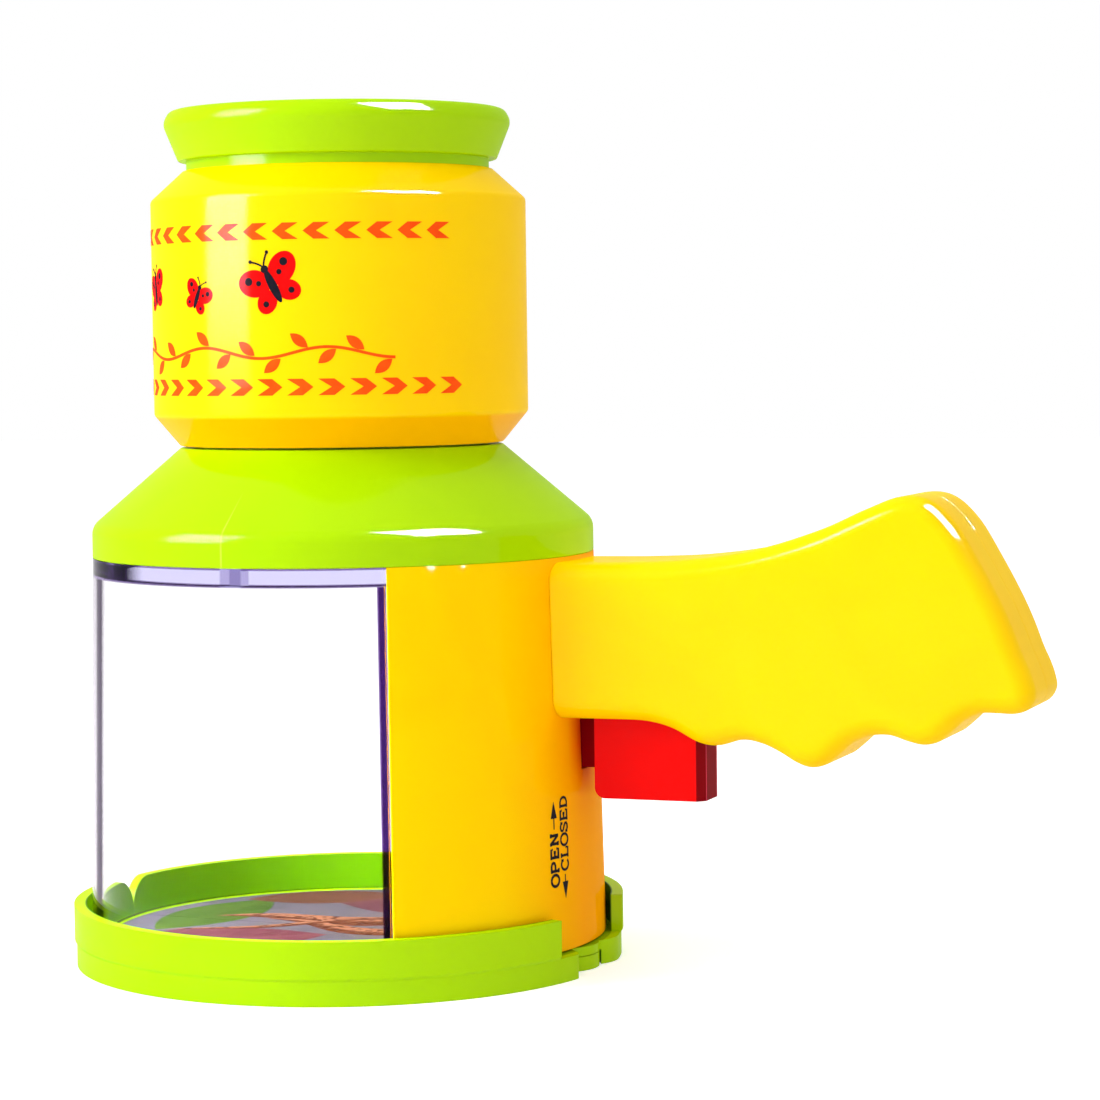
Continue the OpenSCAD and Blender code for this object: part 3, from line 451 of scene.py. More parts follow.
def clear_moulding():
    """Clear plastic that lets lamps through. It is violet where a real wall bends the light away:
    in a line just inside its outline, along its cut ends, and in the thick top band, whose
    far parts, edges and gate patch are darker."""
    material, tree, shader = new_material(
        "clear_wall", {"Transmission Weight": 1.0, "IOR": 1.1, "Roughness": 0.01}
    )
    place = object_place(tree)
    x, y, z = separate(place)
    turn = bearing(x, y)
    facing = node(tree, "LayerWeight", {"Blend": 0.5}).outputs["Facing"]
    outside = ramp(from_axis(x, y), OUTER_FACE_R, OUTER_FACE_R + 0.15, unit=MM)
    rim = times(ramp(facing, 0.66, 0.74), outside)
    line = times(within(facing, 0.70, 0.74, 0.81, 0.86), outside)
    # Painted groove shadow along the band's top and bottom edges.
    low_edge = within(z, BAND_Z, BAND_Z + 0.1, BAND_Z + 0.4, BAND_Z + 0.55, unit=MM)
    edges = calc("MAXIMUM", low_edge, ramp(z, 69.45, 69.55, unit=MM))
    gate = within(turn, -94, -93.5, -89, -88.5, unit=DEGREE)
    end = within(absolute(turn), 57.3, 57.4, 58.85, 58.95, unit=DEGREE)
    end = times(end, ramp(z, BAND_Z + 0.2, BAND_Z, unit=MM))

    tint = mix_colour(noise(place, 60.0, 2.0), (0.975, 0.97, 0.99), (0.995, 0.99, 1.0))
    tint = mix_colour(rim, tint, (0.42, 0.35, 0.47))
    tint = mix_colour(line, tint, (0.003, 0.001, 0.006))
    far = ramp(facing, 0.40, 0.50)
    band = mix_colour(far, (0.66, 0.63, 0.90), (0.004, 0.001, 0.014))
    band = mix_colour(edges, band, (0.10, 0.06, 0.20))
    band = mix_colour(gate, band, (0.26, 0.22, 0.48))
    tint = mix_colour(ramp(z, BAND_Z, BAND_Z + 0.2, unit=MM), tint, band)
    feed(shader["Base Color"], mix_colour(end, tint, (0.045, 0.012, 0.12)))
    return let_lamps_through(material)


def clear_lens():
    """Polished lens: clear, with a faint cloudiness and a paler bluish rim by Layer Weight."""
    material, tree, shader = new_material(
        "polished_lens", {"Transmission Weight": 1.0, "IOR": 1.49, "Roughness": 0.01}
    )
    cloud = noise(object_place(tree), 80.0, 2.0)
    haze = mix_colour(cloud, (0.96, 0.97, 1.0), (0.99, 0.99, 1.0))
    facing = node(tree, "LayerWeight", {"Blend": 0.3}).outputs["Facing"]
    feed(shader["Base Color"], mix_colour(facing, haze, (0.72, 0.74, 0.90)))
    return let_lamps_through(material)


def steel_wire():
    """Plated steel: bright metal with fine turning marks and small differences in polish."""
    material, tree, shader = new_material("plated_steel", {"Metallic": 1.0})
    patches = noise(object_place(tree), 700.0, 4.0)
    tone = mix_colour(patches, (0.30, 0.31, 0.33), (0.46, 0.46, 0.48))
    feed(shader["Base Color"], tone)
    feed(shader["Roughness"], ramp(patches, 0.2, 0.8, 0.32, 0.5))
    return material


# The floor's print. Leaves: centre x and y, turn, half length, half width, dark and pale tone.
# Twigs: centre x and y, turn, half length, half width, bend.

LEAVES = [
    (-20, -16, 30, 21, 12, (0.060, 0.016, 0.024), (0.125, 0.045, 0.058)),
    (10, -24, -12, 24, 13, (0.014, 0.038, 0.006), (0.050, 0.100, 0.016)),
    (-30, 8, 80, 18, 8, (0.016, 0.040, 0.008), (0.055, 0.095, 0.020)),
    (4, 26, -15, 24, 10, (0.050, 0.016, 0.022), (0.105, 0.045, 0.055)),
    (-18, 30, 25, 15, 7, (0.052, 0.020, 0.014), (0.110, 0.052, 0.034)),
]
TWIGS = [
    (4, 10, 6, 34, 4.6, 1.6),
    (10, 0, -9, 30, 3.4, 2.2),
    (-10, 4, 34, 26, 1.6, 1.2),
    (14, 16, -52, 20, 1.2, 0.8),
]


def card_mark(tree, group, place, x, y, turn, half_length, half_width, **more):
    """One leaf or twig of the floor's print."""
    inputs = {"Place": place, "Centre": (x * MM, y * MM, 0), "Turn": -turn * DEGREE,
              "Half Length": half_length * MM, "Half Width": half_width * MM, **more}
    return node(tree, "Group", inputs, node_tree=group).outputs


def printed_card():
    """A laminated print of leaf litter in lilac greys, with broad leaves, veins and bent twigs."""
    material, tree, shader = new_material("printed_card", {"Specular IOR Level": 0.0})
    place = object_place(tree)
    cloud = noise(place, 90.0, 5.0, 0.8)
    speck = noise(place, 700.0, 3.0)
    colour = mix_colour(cloud, (0.045, 0.047, 0.058), (0.118, 0.105, 0.138))
    for *row, dark, pale in LEAVES:
        leaf = card_mark(tree, LEAF, place, *row)
        blade = mix_colour(cloud, dark, pale)
        blade = mix_colour(times(leaf["Vein"], 0.5), blade, pale)
        colour = mix_colour(leaf["Mask"], colour, blade)
    for *row, bend in TWIGS:
        twig = card_mark(tree, TWIG, place, *row, Bend=bend * MM)
        bark = mix_colour(twig["Side"], (0.085, 0.030, 0.018), (0.215, 0.100, 0.058))
        bark = mix_colour(ramp(speck, 0.5, 0.62), bark, (0.042, 0.014, 0.010))
        colour = mix_colour(twig["Mask"], colour, bark)
    feed(shader["Base Color"], colour)
    feed(shader["Roughness"], ramp(speck, 0.2, 0.8, 0.4, 0.55))
    return material


# Places of painted shade, painted reflection and painted highlight, each a mask made from the
# piece's own x, y and z


def with_painted_light(material, tone, place_mask):
    """Paints light or shade into a plastic's colour: another tone where place_mask is 1."""
    tree = material.node_tree
    base = tree.nodes["Principled BSDF"].inputs["Base Color"]
    plain = base.links[0].from_socket
    mask = place_mask(*separate(object_place(tree)))
    feed(base, mix_colour(mask, plain, tone))


def painted_shade_inside_jaw(x, y, z):
    """1 on a jaw's inner wall and on its floor inside the wall, where a darker green is painted
    shade.
    """
    inner = ramp(from_axis(x, y), 45.6, 45.4, unit=MM)
    return times(inner, ramp(z, 4.0, 4.2, unit=MM))


def painted_shade_lower_bevel(x, y, z):
    """1 on the drum's long lower bevel, which the light from above doesn't reach, where a deeper
    orange is painted shade.
    """
    return ramp(z, 93.9, 93.3, unit=MM)


def column_shade(x, y, z):
    """0 to 1 round the rear column's near side, towards the handle, where less light falls."""
    return ramp(bearing(x, y), -32, -4, unit=DEGREE)


def painted_trigger_reflection(x, y, z):
    """Up to 1 on the column beside the trigger and under the handle, where a redder tone paints the
    trigger's red light reflected onto the column.
    """
    near = ramp(absolute(bearing(x, y)), 9, 3, unit=DEGREE)
    return times(near, within(z, 29, 38, 43, 47, unit=MM))


NOSE_BEVEL = 1.35
END_DEPTH = 0.3
TONE_EDGE = 0.06


def painted_shade_neck_and_nose(x, y, z):
    """1 on the trigger's neck, on the two bevels of its nose, where x + |y| is largest, and on
    its end. A dark red there is painted shade: in the neck's recess, and on the nose's faces
    turned from the light."""
    reach = calc("ADD", x, absolute(y))
    bevel_at, end_at = BLOCK_END_X + BLOCK_HALF_W - NOSE_BEVEL, BLOCK_END_X - END_DEPTH
    return combined(
        "MAXIMUM",
        ramp(x, BLOCK_X, BLOCK_X - 0.05, unit=MM),
        ramp(reach, bevel_at, bevel_at + TONE_EDGE, unit=MM),
        ramp(x, end_at, end_at + TONE_EDGE, unit=MM),
    )


def painted_nose_highlight(x, y, z):
    """1 on the thin edges between the trigger's end and its nose bevels, where a pale pink is a
    painted highlight.
    """
    edge = within(absolute(y), 2.72, 2.76, 3.0, 3.04, unit=MM)
    return times(edge, ramp(x, 65.8, 65.84, unit=MM))


def parting_line_highlight(x, y, z):
    """1 on the fine upright line that the mould left on the collar's near side, which fades
    out up the cone. Its paler green is a painted highlight along the line."""
    off = absolute(calc("ADD", bearing(x, y), 93.4 * DEGREE))
    line = ramp(off, 0.26, 0.14, unit=DEGREE)
    return times(line, ramp(z, 82, 76, unit=MM))


YELLOW_TONES = (1.0, 0.605, 0.0), (1.0, 0.635, 0.0)
GREEN_TONES = (0.375, 0.655, 0.0), (0.395, 0.675, 0.0)

YELLOW = plastic("warm_yellow", *YELLOW_TONES)
DRUM_YELLOW = plastic("drum_yellow", *YELLOW_TONES)
# Painted shade: a deeper orange on the drum's lower bevel.
with_painted_light(DRUM_YELLOW, (1.0, 0.45, 0.0), painted_shade_lower_bevel)
COLUMN_YELLOW = plastic("column_yellow", *YELLOW_TONES, coat=0.05)
with_painted_light(COLUMN_YELLOW, (1.0, 0.40, 0.0), column_shade)
# Painted reflection: the trigger's red light on the column beside it.
with_painted_light(COLUMN_YELLOW, (1.0, 0.13, 0.0), painted_trigger_reflection)
GREEN = plastic("lime_green", *GREEN_TONES)
JAW_GREEN = plastic("jaw_green", *GREEN_TONES)
# Painted shade: a darker green inside the jaws' walls.
with_painted_light(JAW_GREEN, (0.06, 0.185, 0.0), painted_shade_inside_jaw)
COLLAR_GREEN = plastic("collar_green", *GREEN_TONES)
# A real mould line, drawn paler as a painted highlight.
with_painted_light(COLLAR_GREEN, (0.52, 0.80, 0.04), parting_line_highlight)
RED = plastic("signal_red", (0.80, 0.002, 0.002), (0.84, 0.003, 0.003), coat=0.08)
# Painted shade: a dark red on the trigger's neck and nose.
with_painted_light(RED, (0.22, 0.0, 0.003), painted_shade_neck_and_nose)
# Painted highlight: a pale pink line along the nose's edges.
with_painted_light(RED, (0.85, 0.06, 0.14), painted_nose_highlight)
WHITE = plastic("natural_white", (0.80, 0.80, 0.77), (0.86, 0.86, 0.83), gloss=0.4, coat=0.0)
CLEAR = clear_moulding()
LENS = clear_lens()
STEEL = steel_wire()
CARD = printed_card()
ORANGE_INK = ink("orange_ink", (1.0, 0.095, 0.005), (0.95, 0.07, 0.004))
RED_INK = ink("red_ink", (0.80, 0.004, 0.004), (0.72, 0.002, 0.002))
BLACK_INK = ink("black_ink", (0.008, 0.007, 0.012), (0.014, 0.012, 0.02))


# Nodes that keep their solid's shape

KEPT = {
    GREEN: ["eyepiece_lens_ring"],
    YELLOW: ["objective_lens_ring", "mechanism_cover"],
    JAW_GREEN: ["near_jaw", "far_jaw"],
    RED: ["trigger"],
    WHITE: ["trigger_carriage"],
    CLEAR: ["clear_window"],
    LENS: ["eyepiece_lens", "objective_lens"],
    STEEL: ["cover_screws", "handle_screws", "blade_pin", "cam_pin", "hinge_pin"],
}
for kept_material, node_names in KEPT.items():
    for node_name in node_names:
        slots = NODES[node_name].data.materials
        slots.clear()
        slots.append(kept_material)


# Drum, collar and eyepiece. An outline's rows are r, z and the corner's own radius. The drum's
# has its lens ledge, its guide sleeve and a groove for the collar's lugs, the collar's has its
# bayonet tube, and the eyepiece's has its draw tube.

DRUM_OUTLINE = [
    (25.38, 88.65, 0.15), (27.7, 88.65, 0.4), (32.05, 93.9, 1.1), (32.05, 130.15, 1.1),
    (26.46, 135.25, 0.35), (25.93, 135.25, 0.15), (25.93, 126.45, 0.1), (27.53, 126.45, 0.3),
    (27.53, 131.58, 0.4), (30.05, 129.28, 0.6), (30.05, 95.35, 0.5), (27.03, 95.35, 0.2),
    (27.03, 99.95, 0.2), (25.43, 99.95, 0.15), (25.43, 95.35, 0.05), (22.38, 95.35, 0.2),
    (22.38, 93.35, 0.2), (25.38, 93.35, 0.1), (25.38, 93.0, 0.05), (26.58, 93.0, 0.1),
    (26.58, 90.65, 0.1), (25.38, 90.65, 0.05),
]
COLLAR_OUTLINE = [
    (41.2, 69.82, 0.2), (43.0, 69.82, 0.25), (43.0, 75.1, 3.0), (27.6, 88.3, 0.6),
    (25.2, 88.3, 0.05), (25.2, 93.0, 0.2), (23.4, 93.0, 0.2), (23.4, 89.18, 0.4),
    (41.2, 73.93, 0.8),
]
EYEPIECE_OUTLINE = [
    (24.25, 111.95, 0.2), (25.85, 111.95, 0.2), (25.85, 136.95, 0.1), (27.2, 136.95, 0.4),
    (29.75, 143.3, 2.2), (28.6, 145.45, 1.5), (27.3, 145.45, 0.5), (24.25, 141.2, 0.8),
    (24.25, 137.7, 0.1), (22.25, 137.7, 0.2), (22.25, 136.2, 0.3), (24.25, 134.2, 0.5),
]
LUG_OUTLINE = [(24.3, 90.95), (26.4, 90.95), (26.4, 92.65), (24.3, 92.65)]
HOOK_OUTLINE = [(25.05, 111.95), (25.85, 111.95), (27.05, 113.75), (25.05, 113.75)]
LUG_WIDTH, HOOK_WIDTH = 16, 20


def turned_piece(name, corners, body, slot, material, node_name):
    """A turned shell whose outline's corners are rounded, in the place of its solid."""
    made = closed_object(name, *lathe(rounded(corners)))
    smooth(made, 40)
    dress(made, body, slot, material)
    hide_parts(node_name)


def three_lugs(name, outline, width, body):
    """Three short green lugs a third of a turn apart, each width degrees wide."""
    outline = np.array(outline)
    made = closed_object(name, *joined([lathe(outline, a, a + width, 12) for a in (0, 120, 240)]))
    smooth(made)
    dress(made, body, "green_plastic", GREEN)


# Handle. Its outline and screws are given as shares of its length and height, the outline in
# thousandths.

HANDLE_X, HANDLE_Z = 40.0, 36.2
HANDLE_L, HANDLE_H = 82.4, 44.4
ROOT_TOP_SHARE, ROOT_LOW_SHARE = 0.741, 0.157
ROOT_LOW_Z = HANDLE_Z + ROOT_LOW_SHARE * HANDLE_H
OUTLINE_STEPS = 8
OUTLINE_THOUSANDTHS = [
    (146, 743), (291, 755), (437, 793), (570, 867), (665, 944), (735, 991), (794, 980),
    (845, 896), (891, 757), (931, 619), (955, 520), (973, 432), (987, 374), (996, 324),
    (999, 279), (985, 236), (959, 218), (925, 218), (891, 216), (860, 189), (836, 149),
    (809, 110), (779, 97), (748, 108), (711, 128), (672, 124), (638, 97), (609, 50), (583, 14),
    (553, 2), (524, 18), (490, 54), (454, 83), (413, 95), (364, 72), (322, 81), (267, 131),
    (212, 155), (146, 158),
]
SCREW_SHARES = [(0.39, 0.37), (0.68, 0.54), (0.885, 0.45)]
SCREW_R, HEAD_R, POST_R = 1.35, 2.7, 3.2
BEHIND_WALL_X = 20
# Rooms cut into both halves: end x, half width, low z and high z
LUG_ROOM = (45.9, 4.05, 53.15, 66.45)
BLADE_ROOM = (BLOCK_X + 1, 1.85, TRIGGER_Z, 51.85)
BLOCK_ROOM_Y = 4.65
BLOCK_GAP = 0.35


def smooth_outline():
    """The handle's outline: a Catmull-Rom curve through its points, with the direction that
    leads into the handle taken over a whole stretch each way."""
    p = np.array(OUTLINE_THOUSANDTHS) / 1000
    p = np.vstack([p[:1], p, p[-1:]])
    a, b, c, d = (q[:, None] for q in (p[:-3], p[1:-2], p[2:-1], p[3:]))
    t = (np.arange(OUTLINE_STEPS) / OUTLINE_STEPS)[None, :, None]
    bend = (2 * a - 5 * b + 4 * c - d) * t**2 + (3 * b - a - 3 * c + d) * t**3
    curve = 0.5 * (2 * b + (c - a) * t + bend)
    curve = np.vstack([curve.reshape(-1, 2), p[-1:]])
    curve = np.array([HANDLE_X, HANDLE_Z]) + curve * np.array([HANDLE_L, HANDLE_H])
    number = np.arange(len(curve))
    after = curve[np.minimum(number + OUTLINE_STEPS, len(curve) - 1)]
    way = after - curve[np.maximum(number - OUTLINE_STEPS, 0)]
    inward = np.stack([way[:, 1], -way[:, 0]], -1)
    return curve, inward / np.linalg.norm(inward, axis=1, keepdims=True)


def wall_r(z):
    """The jar wall's radius at a height: a straight cone from its foot to its top."""
    return WALL_FOOT_R + (WALL_TOP_R - WALL_FOOT_R) * (z - WALL_FOOT_Z) / (WALL_TOP_Z - WALL_FOOT_Z)


def wall_x(y, z):
    """Where the handle's root meets the jar wall: sqrt((r + gap)^2 - y y)."""
    return np.sqrt((wall_r(z) + 0.05) ** 2 - y * y)


def handle_rings(insets, depths, inside=False):
    """Rings of the outline, one for each inset and depth y: the outline moved inward by the
    inset, and ended on the jar wall, or inside, on the root wall."""
    curve, inward = smooth_outline()
    insets, depths = np.asarray(insets, float)[:, None], np.asarray(depths, float)[:, None]
    body = curve[None] + insets[..., None] * inward[None]
    top = HANDLE_Z + ROOT_TOP_SHARE * HANDLE_H - insets
    low = ROOT_LOW_Z + insets
    end_x = [np.full_like(z, ROOT_WALL_X) if inside else wall_x(depths, z) for z in (top, low)]
    x = np.hstack([end_x[0], body[..., 0], end_x[1]])
    z = np.hstack([top, body[..., 1], low])
    return np.stack([x, depths + 0 * x, z], -1)


def handle_half(name, node_name, side):
    """Half of the handle: rings that draw in by HANDLE_EDGE_R (1 - sin t) as y runs over
    HANDLE_EDGE_R (1 - cos t), then a straight wall to the parting line, and another inside."""
    t = np.radians(np.linspace(0, 90, 15))
    chamfer = 0.12
    insets = np.concatenate([HANDLE_EDGE_R * (1 - np.sin(t)), [0, 0, chamfer]])
    arc = -HANDLE_HALF_W + HANDLE_EDGE_R * (1 - np.cos(t))
    depths = np.concatenate([arc, [-4.0, -PART_LINE - chamfer, -PART_LINE]])
    inner = handle_rings([SHELL_T] * 2, [-PART_LINE, -HANDLE_HALF_W + SHELL_T], inside=True)
    rings = np.vstack([handle_rings(insets, depths), inner])
    rings[..., 1] *= -side
    made = closed_object(name, *tube(rings))
    cut_away(made, handle_openings(side))
    smooth(made)
    dress(made, "jar", "yellow_plastic", YELLOW)
    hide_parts(node_name)


def at_screws(outline):
    """A closed (r, y) outline turned at each of the handle's three screws."""
    return [turned_y(outline, HANDLE_X + u * HANDLE_L, HANDLE_Z + v * HANDLE_H)
            for u, v in SCREW_SHARES]


def handle_openings(side):
    """The shapes taken out of a handle half: the seat of the column's lug, the blade's slot, the
    trigger's opening and, on the far half, the screw recesses."""
    shapes = [box_shape((BEHIND_WALL_X, -half_w, low), (end_x, half_w, high))
              for end_x, half_w, low, high in (LUG_ROOM, BLADE_ROOM)]
    shapes.append(box_shape((BLOCK_X - BLOCK_GAP, -BLOCK_ROOM_Y, TRIGGER_Z),
                            (BLOCK_END_X + BLOCK_GAP, BLOCK_ROOM_Y, ROOT_LOW_Z + SHELL_T + 1)))
    if side > 0:
        recess = [(0, 5), (SCREW_R, 5), (SCREW_R, 8), (HEAD_R, 8), (HEAD_R, 12), (0, 12)]
        shapes += at_screws(np.array(recess))
    return shapes


def handle_posts(name, side):
    """The three hollow screw posts inside a handle half."""
    low, high = sorted((side * (HANDLE_HALF_W - SHELL_T / 2), side * PART_LINE))
    outline = np.array([(SCREW_R, low), (POST_R, low), (POST_R, high), (SCREW_R, high)])
    made = closed_object(name, *joined(at_screws(outline)))
    smooth(made)
    dress(made, "jar", "yellow_plastic", YELLOW)


# Column

LAP_RING = [(38, 3), (47, 3), (47, 76), (38, 76)]
LAP_START, LAP_END = 57.06, 63


def make_column():
    """The rear column's solid with its two laps behind the clear wall's ends taken off, so that
    the ends show clear as they do in the photo."""
    made = linked("column_shell", NODES["rear_column"].data.copy())
    made.data.materials.clear()
    merge_points(made, MERGE_DISTANCE / 2)
    ring = np.array(LAP_RING, float)
    cut_away(made, [lathe(ring, side * LAP_START, side * LAP_END, 6) for side in (-1, 1)])
    smooth(made)
    dress(made, "jar", "yellow_plastic", COLUMN_YELLOW)
    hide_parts("rear_column")


# Return spring

SPRING_X = 34.99
SPRING_R = 3.1
SPRING_TURNS = 8
WIRE_R = 0.45
SPRING_SEAT_Z = 44.85
COVER_ROOF_Z = 63.0
SPRING_PLAY = 0.02


def make_spring():
    """The trigger's return spring, a wire on a helix: at the turn a and the angle b round the
    wire, r = SPRING_R + WIRE_R cos b and z = rise a + WIRE_R sin b. It rides on the carriage,
    under the cover's roof."""
    around, along = 12, 32 * SPRING_TURNS
    turn = np.linspace(0, 2 * np.pi * SPRING_TURNS, along + 1)[:, None]
    wire = np.linspace(0, 2 * np.pi, around, endpoint=False)[None]
    low = SPRING_SEAT_Z + SPRING_PLAY + WIRE_R
    high = COVER_ROOF_Z - SPRING_PLAY - WIRE_R
    r = SPRING_R + WIRE_R * np.cos(wire)
    z = low + (high - low) * turn / turn[-1] + WIRE_R * np.sin(wire)
    points = np.stack([SPRING_X + r * np.cos(turn), r * np.sin(turn), z], -1)
    made = closed_object("return_spring", *tube(points))
    smooth(made, 50)
    dress(made, "trigger_set", "steel", STEEL)
    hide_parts("trigger_spring")
    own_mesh(made)


# Floor cards

HINGE_X = 38.2
SEAM_ANGLE = 2.7
CARD_R = 42.2
CARD_RELIEF_R = 12.9
CARD_SEAM = 0.06
CARD_TOP_Z = 4.16
CARD_T = 0.05
CARD_COLS = 9


def make_floor_card(name, body, side, node_name):
    """A card over half of the floor. Along the seam its near edge is the seam line or, beside
    the hinge, the relief circle sqrt(R R - x x); its far edge is the card's rim circle."""
    turn = math.radians(SEAM_ANGLE)
    centre = np.array([-HINGE_X * math.cos(turn), -side * HINGE_X * math.sin(turn)])
    share = (1 - np.cos(np.linspace(0, np.pi, 121))) / 2
    x = centre[0] - CARD_R + 0.01 + share * (2 * CARD_R - 0.02)
    rim = centre[1] + np.sqrt(np.maximum(CARD_R**2 - (x - centre[0]) ** 2, 0))
    start = np.maximum(CARD_SEAM, np.sqrt(np.maximum(CARD_RELIEF_R**2 - x * x, 0)))
    x, start, rim = (values[rim > start + 0.05] for values in (x, start, rim))
    y = side * (start[:, None] + (rim - start)[:, None] * np.linspace(0, 1, CARD_COLS)[None])
    x = x[:, None] + 0 * y
    flat = placed((HINGE_X, 0), x, y, -SEAM_ANGLE)
    points = np.column_stack([flat, np.full(len(flat), CARD_TOP_Z)])
    faces = quads(len(x), CARD_COLS)
    made = new_object(name, points, [faces if side > 0 else faces[:, ::-1]])
    thick = made.modifiers.new("card_thickness", "SOLIDIFY")
    thick.thickness, thick.offset = CARD_T * MM, -1
    dress(made, body, "printed_card", CARD)
    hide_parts(node_name)


# Prints. A mark is a flat shape (points and faces), its ink and its lift off the surface.

FILM_T = 0.02


def patch(rows, cols):
    """Two square grids of shares from -1 to 1, u along and v across, with their faces."""
    u, v = np.meshgrid(np.linspace(-1, 1, rows), np.linspace(-1, 1, cols), indexing="ij")
    return u, v, quads(rows, cols)


def disc(centre, half_u, half_v, turn=0.0, count=11):
    """An ellipse: the square grid drawn to a disc by u sqrt(1 - v v / 2), v sqrt(1 - u u / 2)."""
    u, v, faces = patch(count, count)
    s, t = half_u * u * np.sqrt(1 - v * v / 2), half_v * v * np.sqrt(1 - u * u / 2)
    return placed(centre, s, t, turn), faces


def leaf_print(centre, length, width, turn):
    """A leaf whose half width is width / 2 times (1.02 - u u) at the share u along it."""
    u, v, faces = patch(9, 3)
    return placed(centre, length / 2 * u, width / 2 * v * (1.02 - u * u), turn), faces


def stroke(points, width):
    """A strip of even width along a line of points."""
    line = np.asarray(points, float)
    way = np.gradient(line, axis=0)
    across = np.stack([-way[:, 1], way[:, 0]], -1) / np.linalg.norm(way, axis=1, keepdims=True)
    sides = np.stack([line + across * width / 2, line - across * width / 2], 1)
    return sides.reshape(-1, 2), quads(len(line), 2)


def chevron(tip, width, height, way):
    """A notched arrow that points along way: at the share v of its half height its front lies
    0.4 |v| and its back 0.5 + 0.5 |v| of its width behind the tip."""
    u, v, faces = patch(5, 5)
    front, back = 0.4 * np.abs(v), 0.5 + 0.5 * np.abs(v)
    s = front + (u + 1) / 2 * (back - front)
    return placed(tip, -way * width * s, height / 2 * v), faces


def wrapped(flat, r, girth_r):
    """Flat (s, z) points at the radius r round the jar's axis: s is an arc length from the
    direction of +X on a circle of radius girth_r."""
    angle = flat[:, 0] / girth_r
    return np.stack([r * np.cos(angle), r * np.sin(angle), flat[:, 1]], -1)


def on_drum(flat, lift):
    """Flat points wrapped round the drum, lift above it."""
    return wrapped(flat, DRUM_R + lift, DRUM_R)


def on_wall(flat, lift):
    """Flat points wrapped round the jar wall's cone, lift above it."""
    return wrapped(flat, wall_r(flat[:, 1]) + lift, WALL_FOOT_R)


def print_piece(name, marks, wrap, body):
    """One piece of printed marks, as thin films whose faces point away from the jar's axis."""
    inks = list(dict.fromkeys(tint for _, tint, _ in marks))
    points, blocks = joined([(wrap(flat, lift), [faces]) for (flat, faces), _, lift in marks])
    faces = np.vstack(blocks)
    corners = points[faces]
    normal = np.cross(corners[:, 2] - corners[:, 0], corners[:, 3] - corners[:, 1])
    inward = (normal * corners.mean(1))[:, :2].sum(1) < 0
    faces[inward] = faces[inward][:, [0, 3, 2, 1]]
    made = new_object(name, points, [faces])
    numbers = np.repeat([inks.index(tint) for _, tint, _ in marks], [len(b) for b in blocks])
    dress(made, body, "yellow_plastic", *inks)
    made.data.polygons.foreach_set("material_index", numbers.astype(np.int32))
    film = made.modifiers.new("film", "SOLIDIFY")
    film.thickness, film.offset = FILM_T * MM, -1


def butterfly(centre, size, turn):
    """Red wings with dark spots, a dark body and two curled feelers. Sizes are shares of size."""

    def spot(x, y, half_u, half_v, tint, lift, tilt=0.0, count=11):
        middle = placed(centre, size * x, size * y, turn)[0]
        return disc(middle, half_u * size, half_v * size, tilt, count), tint, lift

    marks = []
    bend = np.linspace(0, 1, 7)
    for side in (-1, 1):
        feeler = placed(centre, size * side * 0.30 * bend**1.6, size * (0.52 + 0.38 * bend), turn)
        marks += [
            spot(side * 0.48, 0.28, 0.52, 0.40, RED_INK, 0.04, turn + side * 32),
            spot(side * 0.38, -0.38, 0.36, 0.30, RED_INK, 0.045, turn - side * 38),
            spot(side * 0.62, 0.42, 0.12, 0.12, BLACK_INK, 0.08, count=7),
            spot(side * 0.36, 0.22, 0.08, 0.08, BLACK_INK, 0.08, count=7),
            spot(side * 0.44, -0.42, 0.09, 0.09, BLACK_INK, 0.08, count=7),
            (stroke(feeler, 0.055 * size), BLACK_INK, 0.06),
            (disc(feeler[-1], 0.055 * size, 0.055 * size, count=5), BLACK_INK, 0.07),
        ]
    return marks + [
        spot(0, -0.05, 0.13, 0.54, BLACK_INK, 0.09, turn),
        spot(0, 0.50, 0.12, 0.11, BLACK_INK, 0.10, turn, 7),
    ]


# The drum's print: rows as first angle, height and way; butterflies as angle, height, size, turn

CHEVRON_ROWS = [(-39.6, 124.0, -1), (-27.9, 98.7, 1)]
CHEVRON_PITCH, CHEVRON_COUNT = 9.25, 15
CHEVRON_W, CHEVRON_H = 4.4, 2.7
BUTTERFLIES = [(-86, 115.4, 5.6, 28), (-113, 113.6, 3.4, -24), (-140, 115.0, 4.4, 12)]
TRAIL_Z, TRAIL_SWING = 104.3, 0.9
TRAIL_START, TRAIL_END = -50, -160
LEAF_START, LEAF_PITCH, LEAF_COUNT = -52, 8.2, 14
LEAF_L, LEAF_W, LEAF_TILT = 3.7, 1.7, 38


def drum_s(degrees):
    """Arc length on the drum at an angle."""
    return np.radians(degrees) * DRUM_R


def trail_z(degrees):
    """Height of the leaf trail at an angle: a wave of nine swings to the turn."""
    return TRAIL_Z + TRAIL_SWING * np.sin(np.radians(degrees * 9))


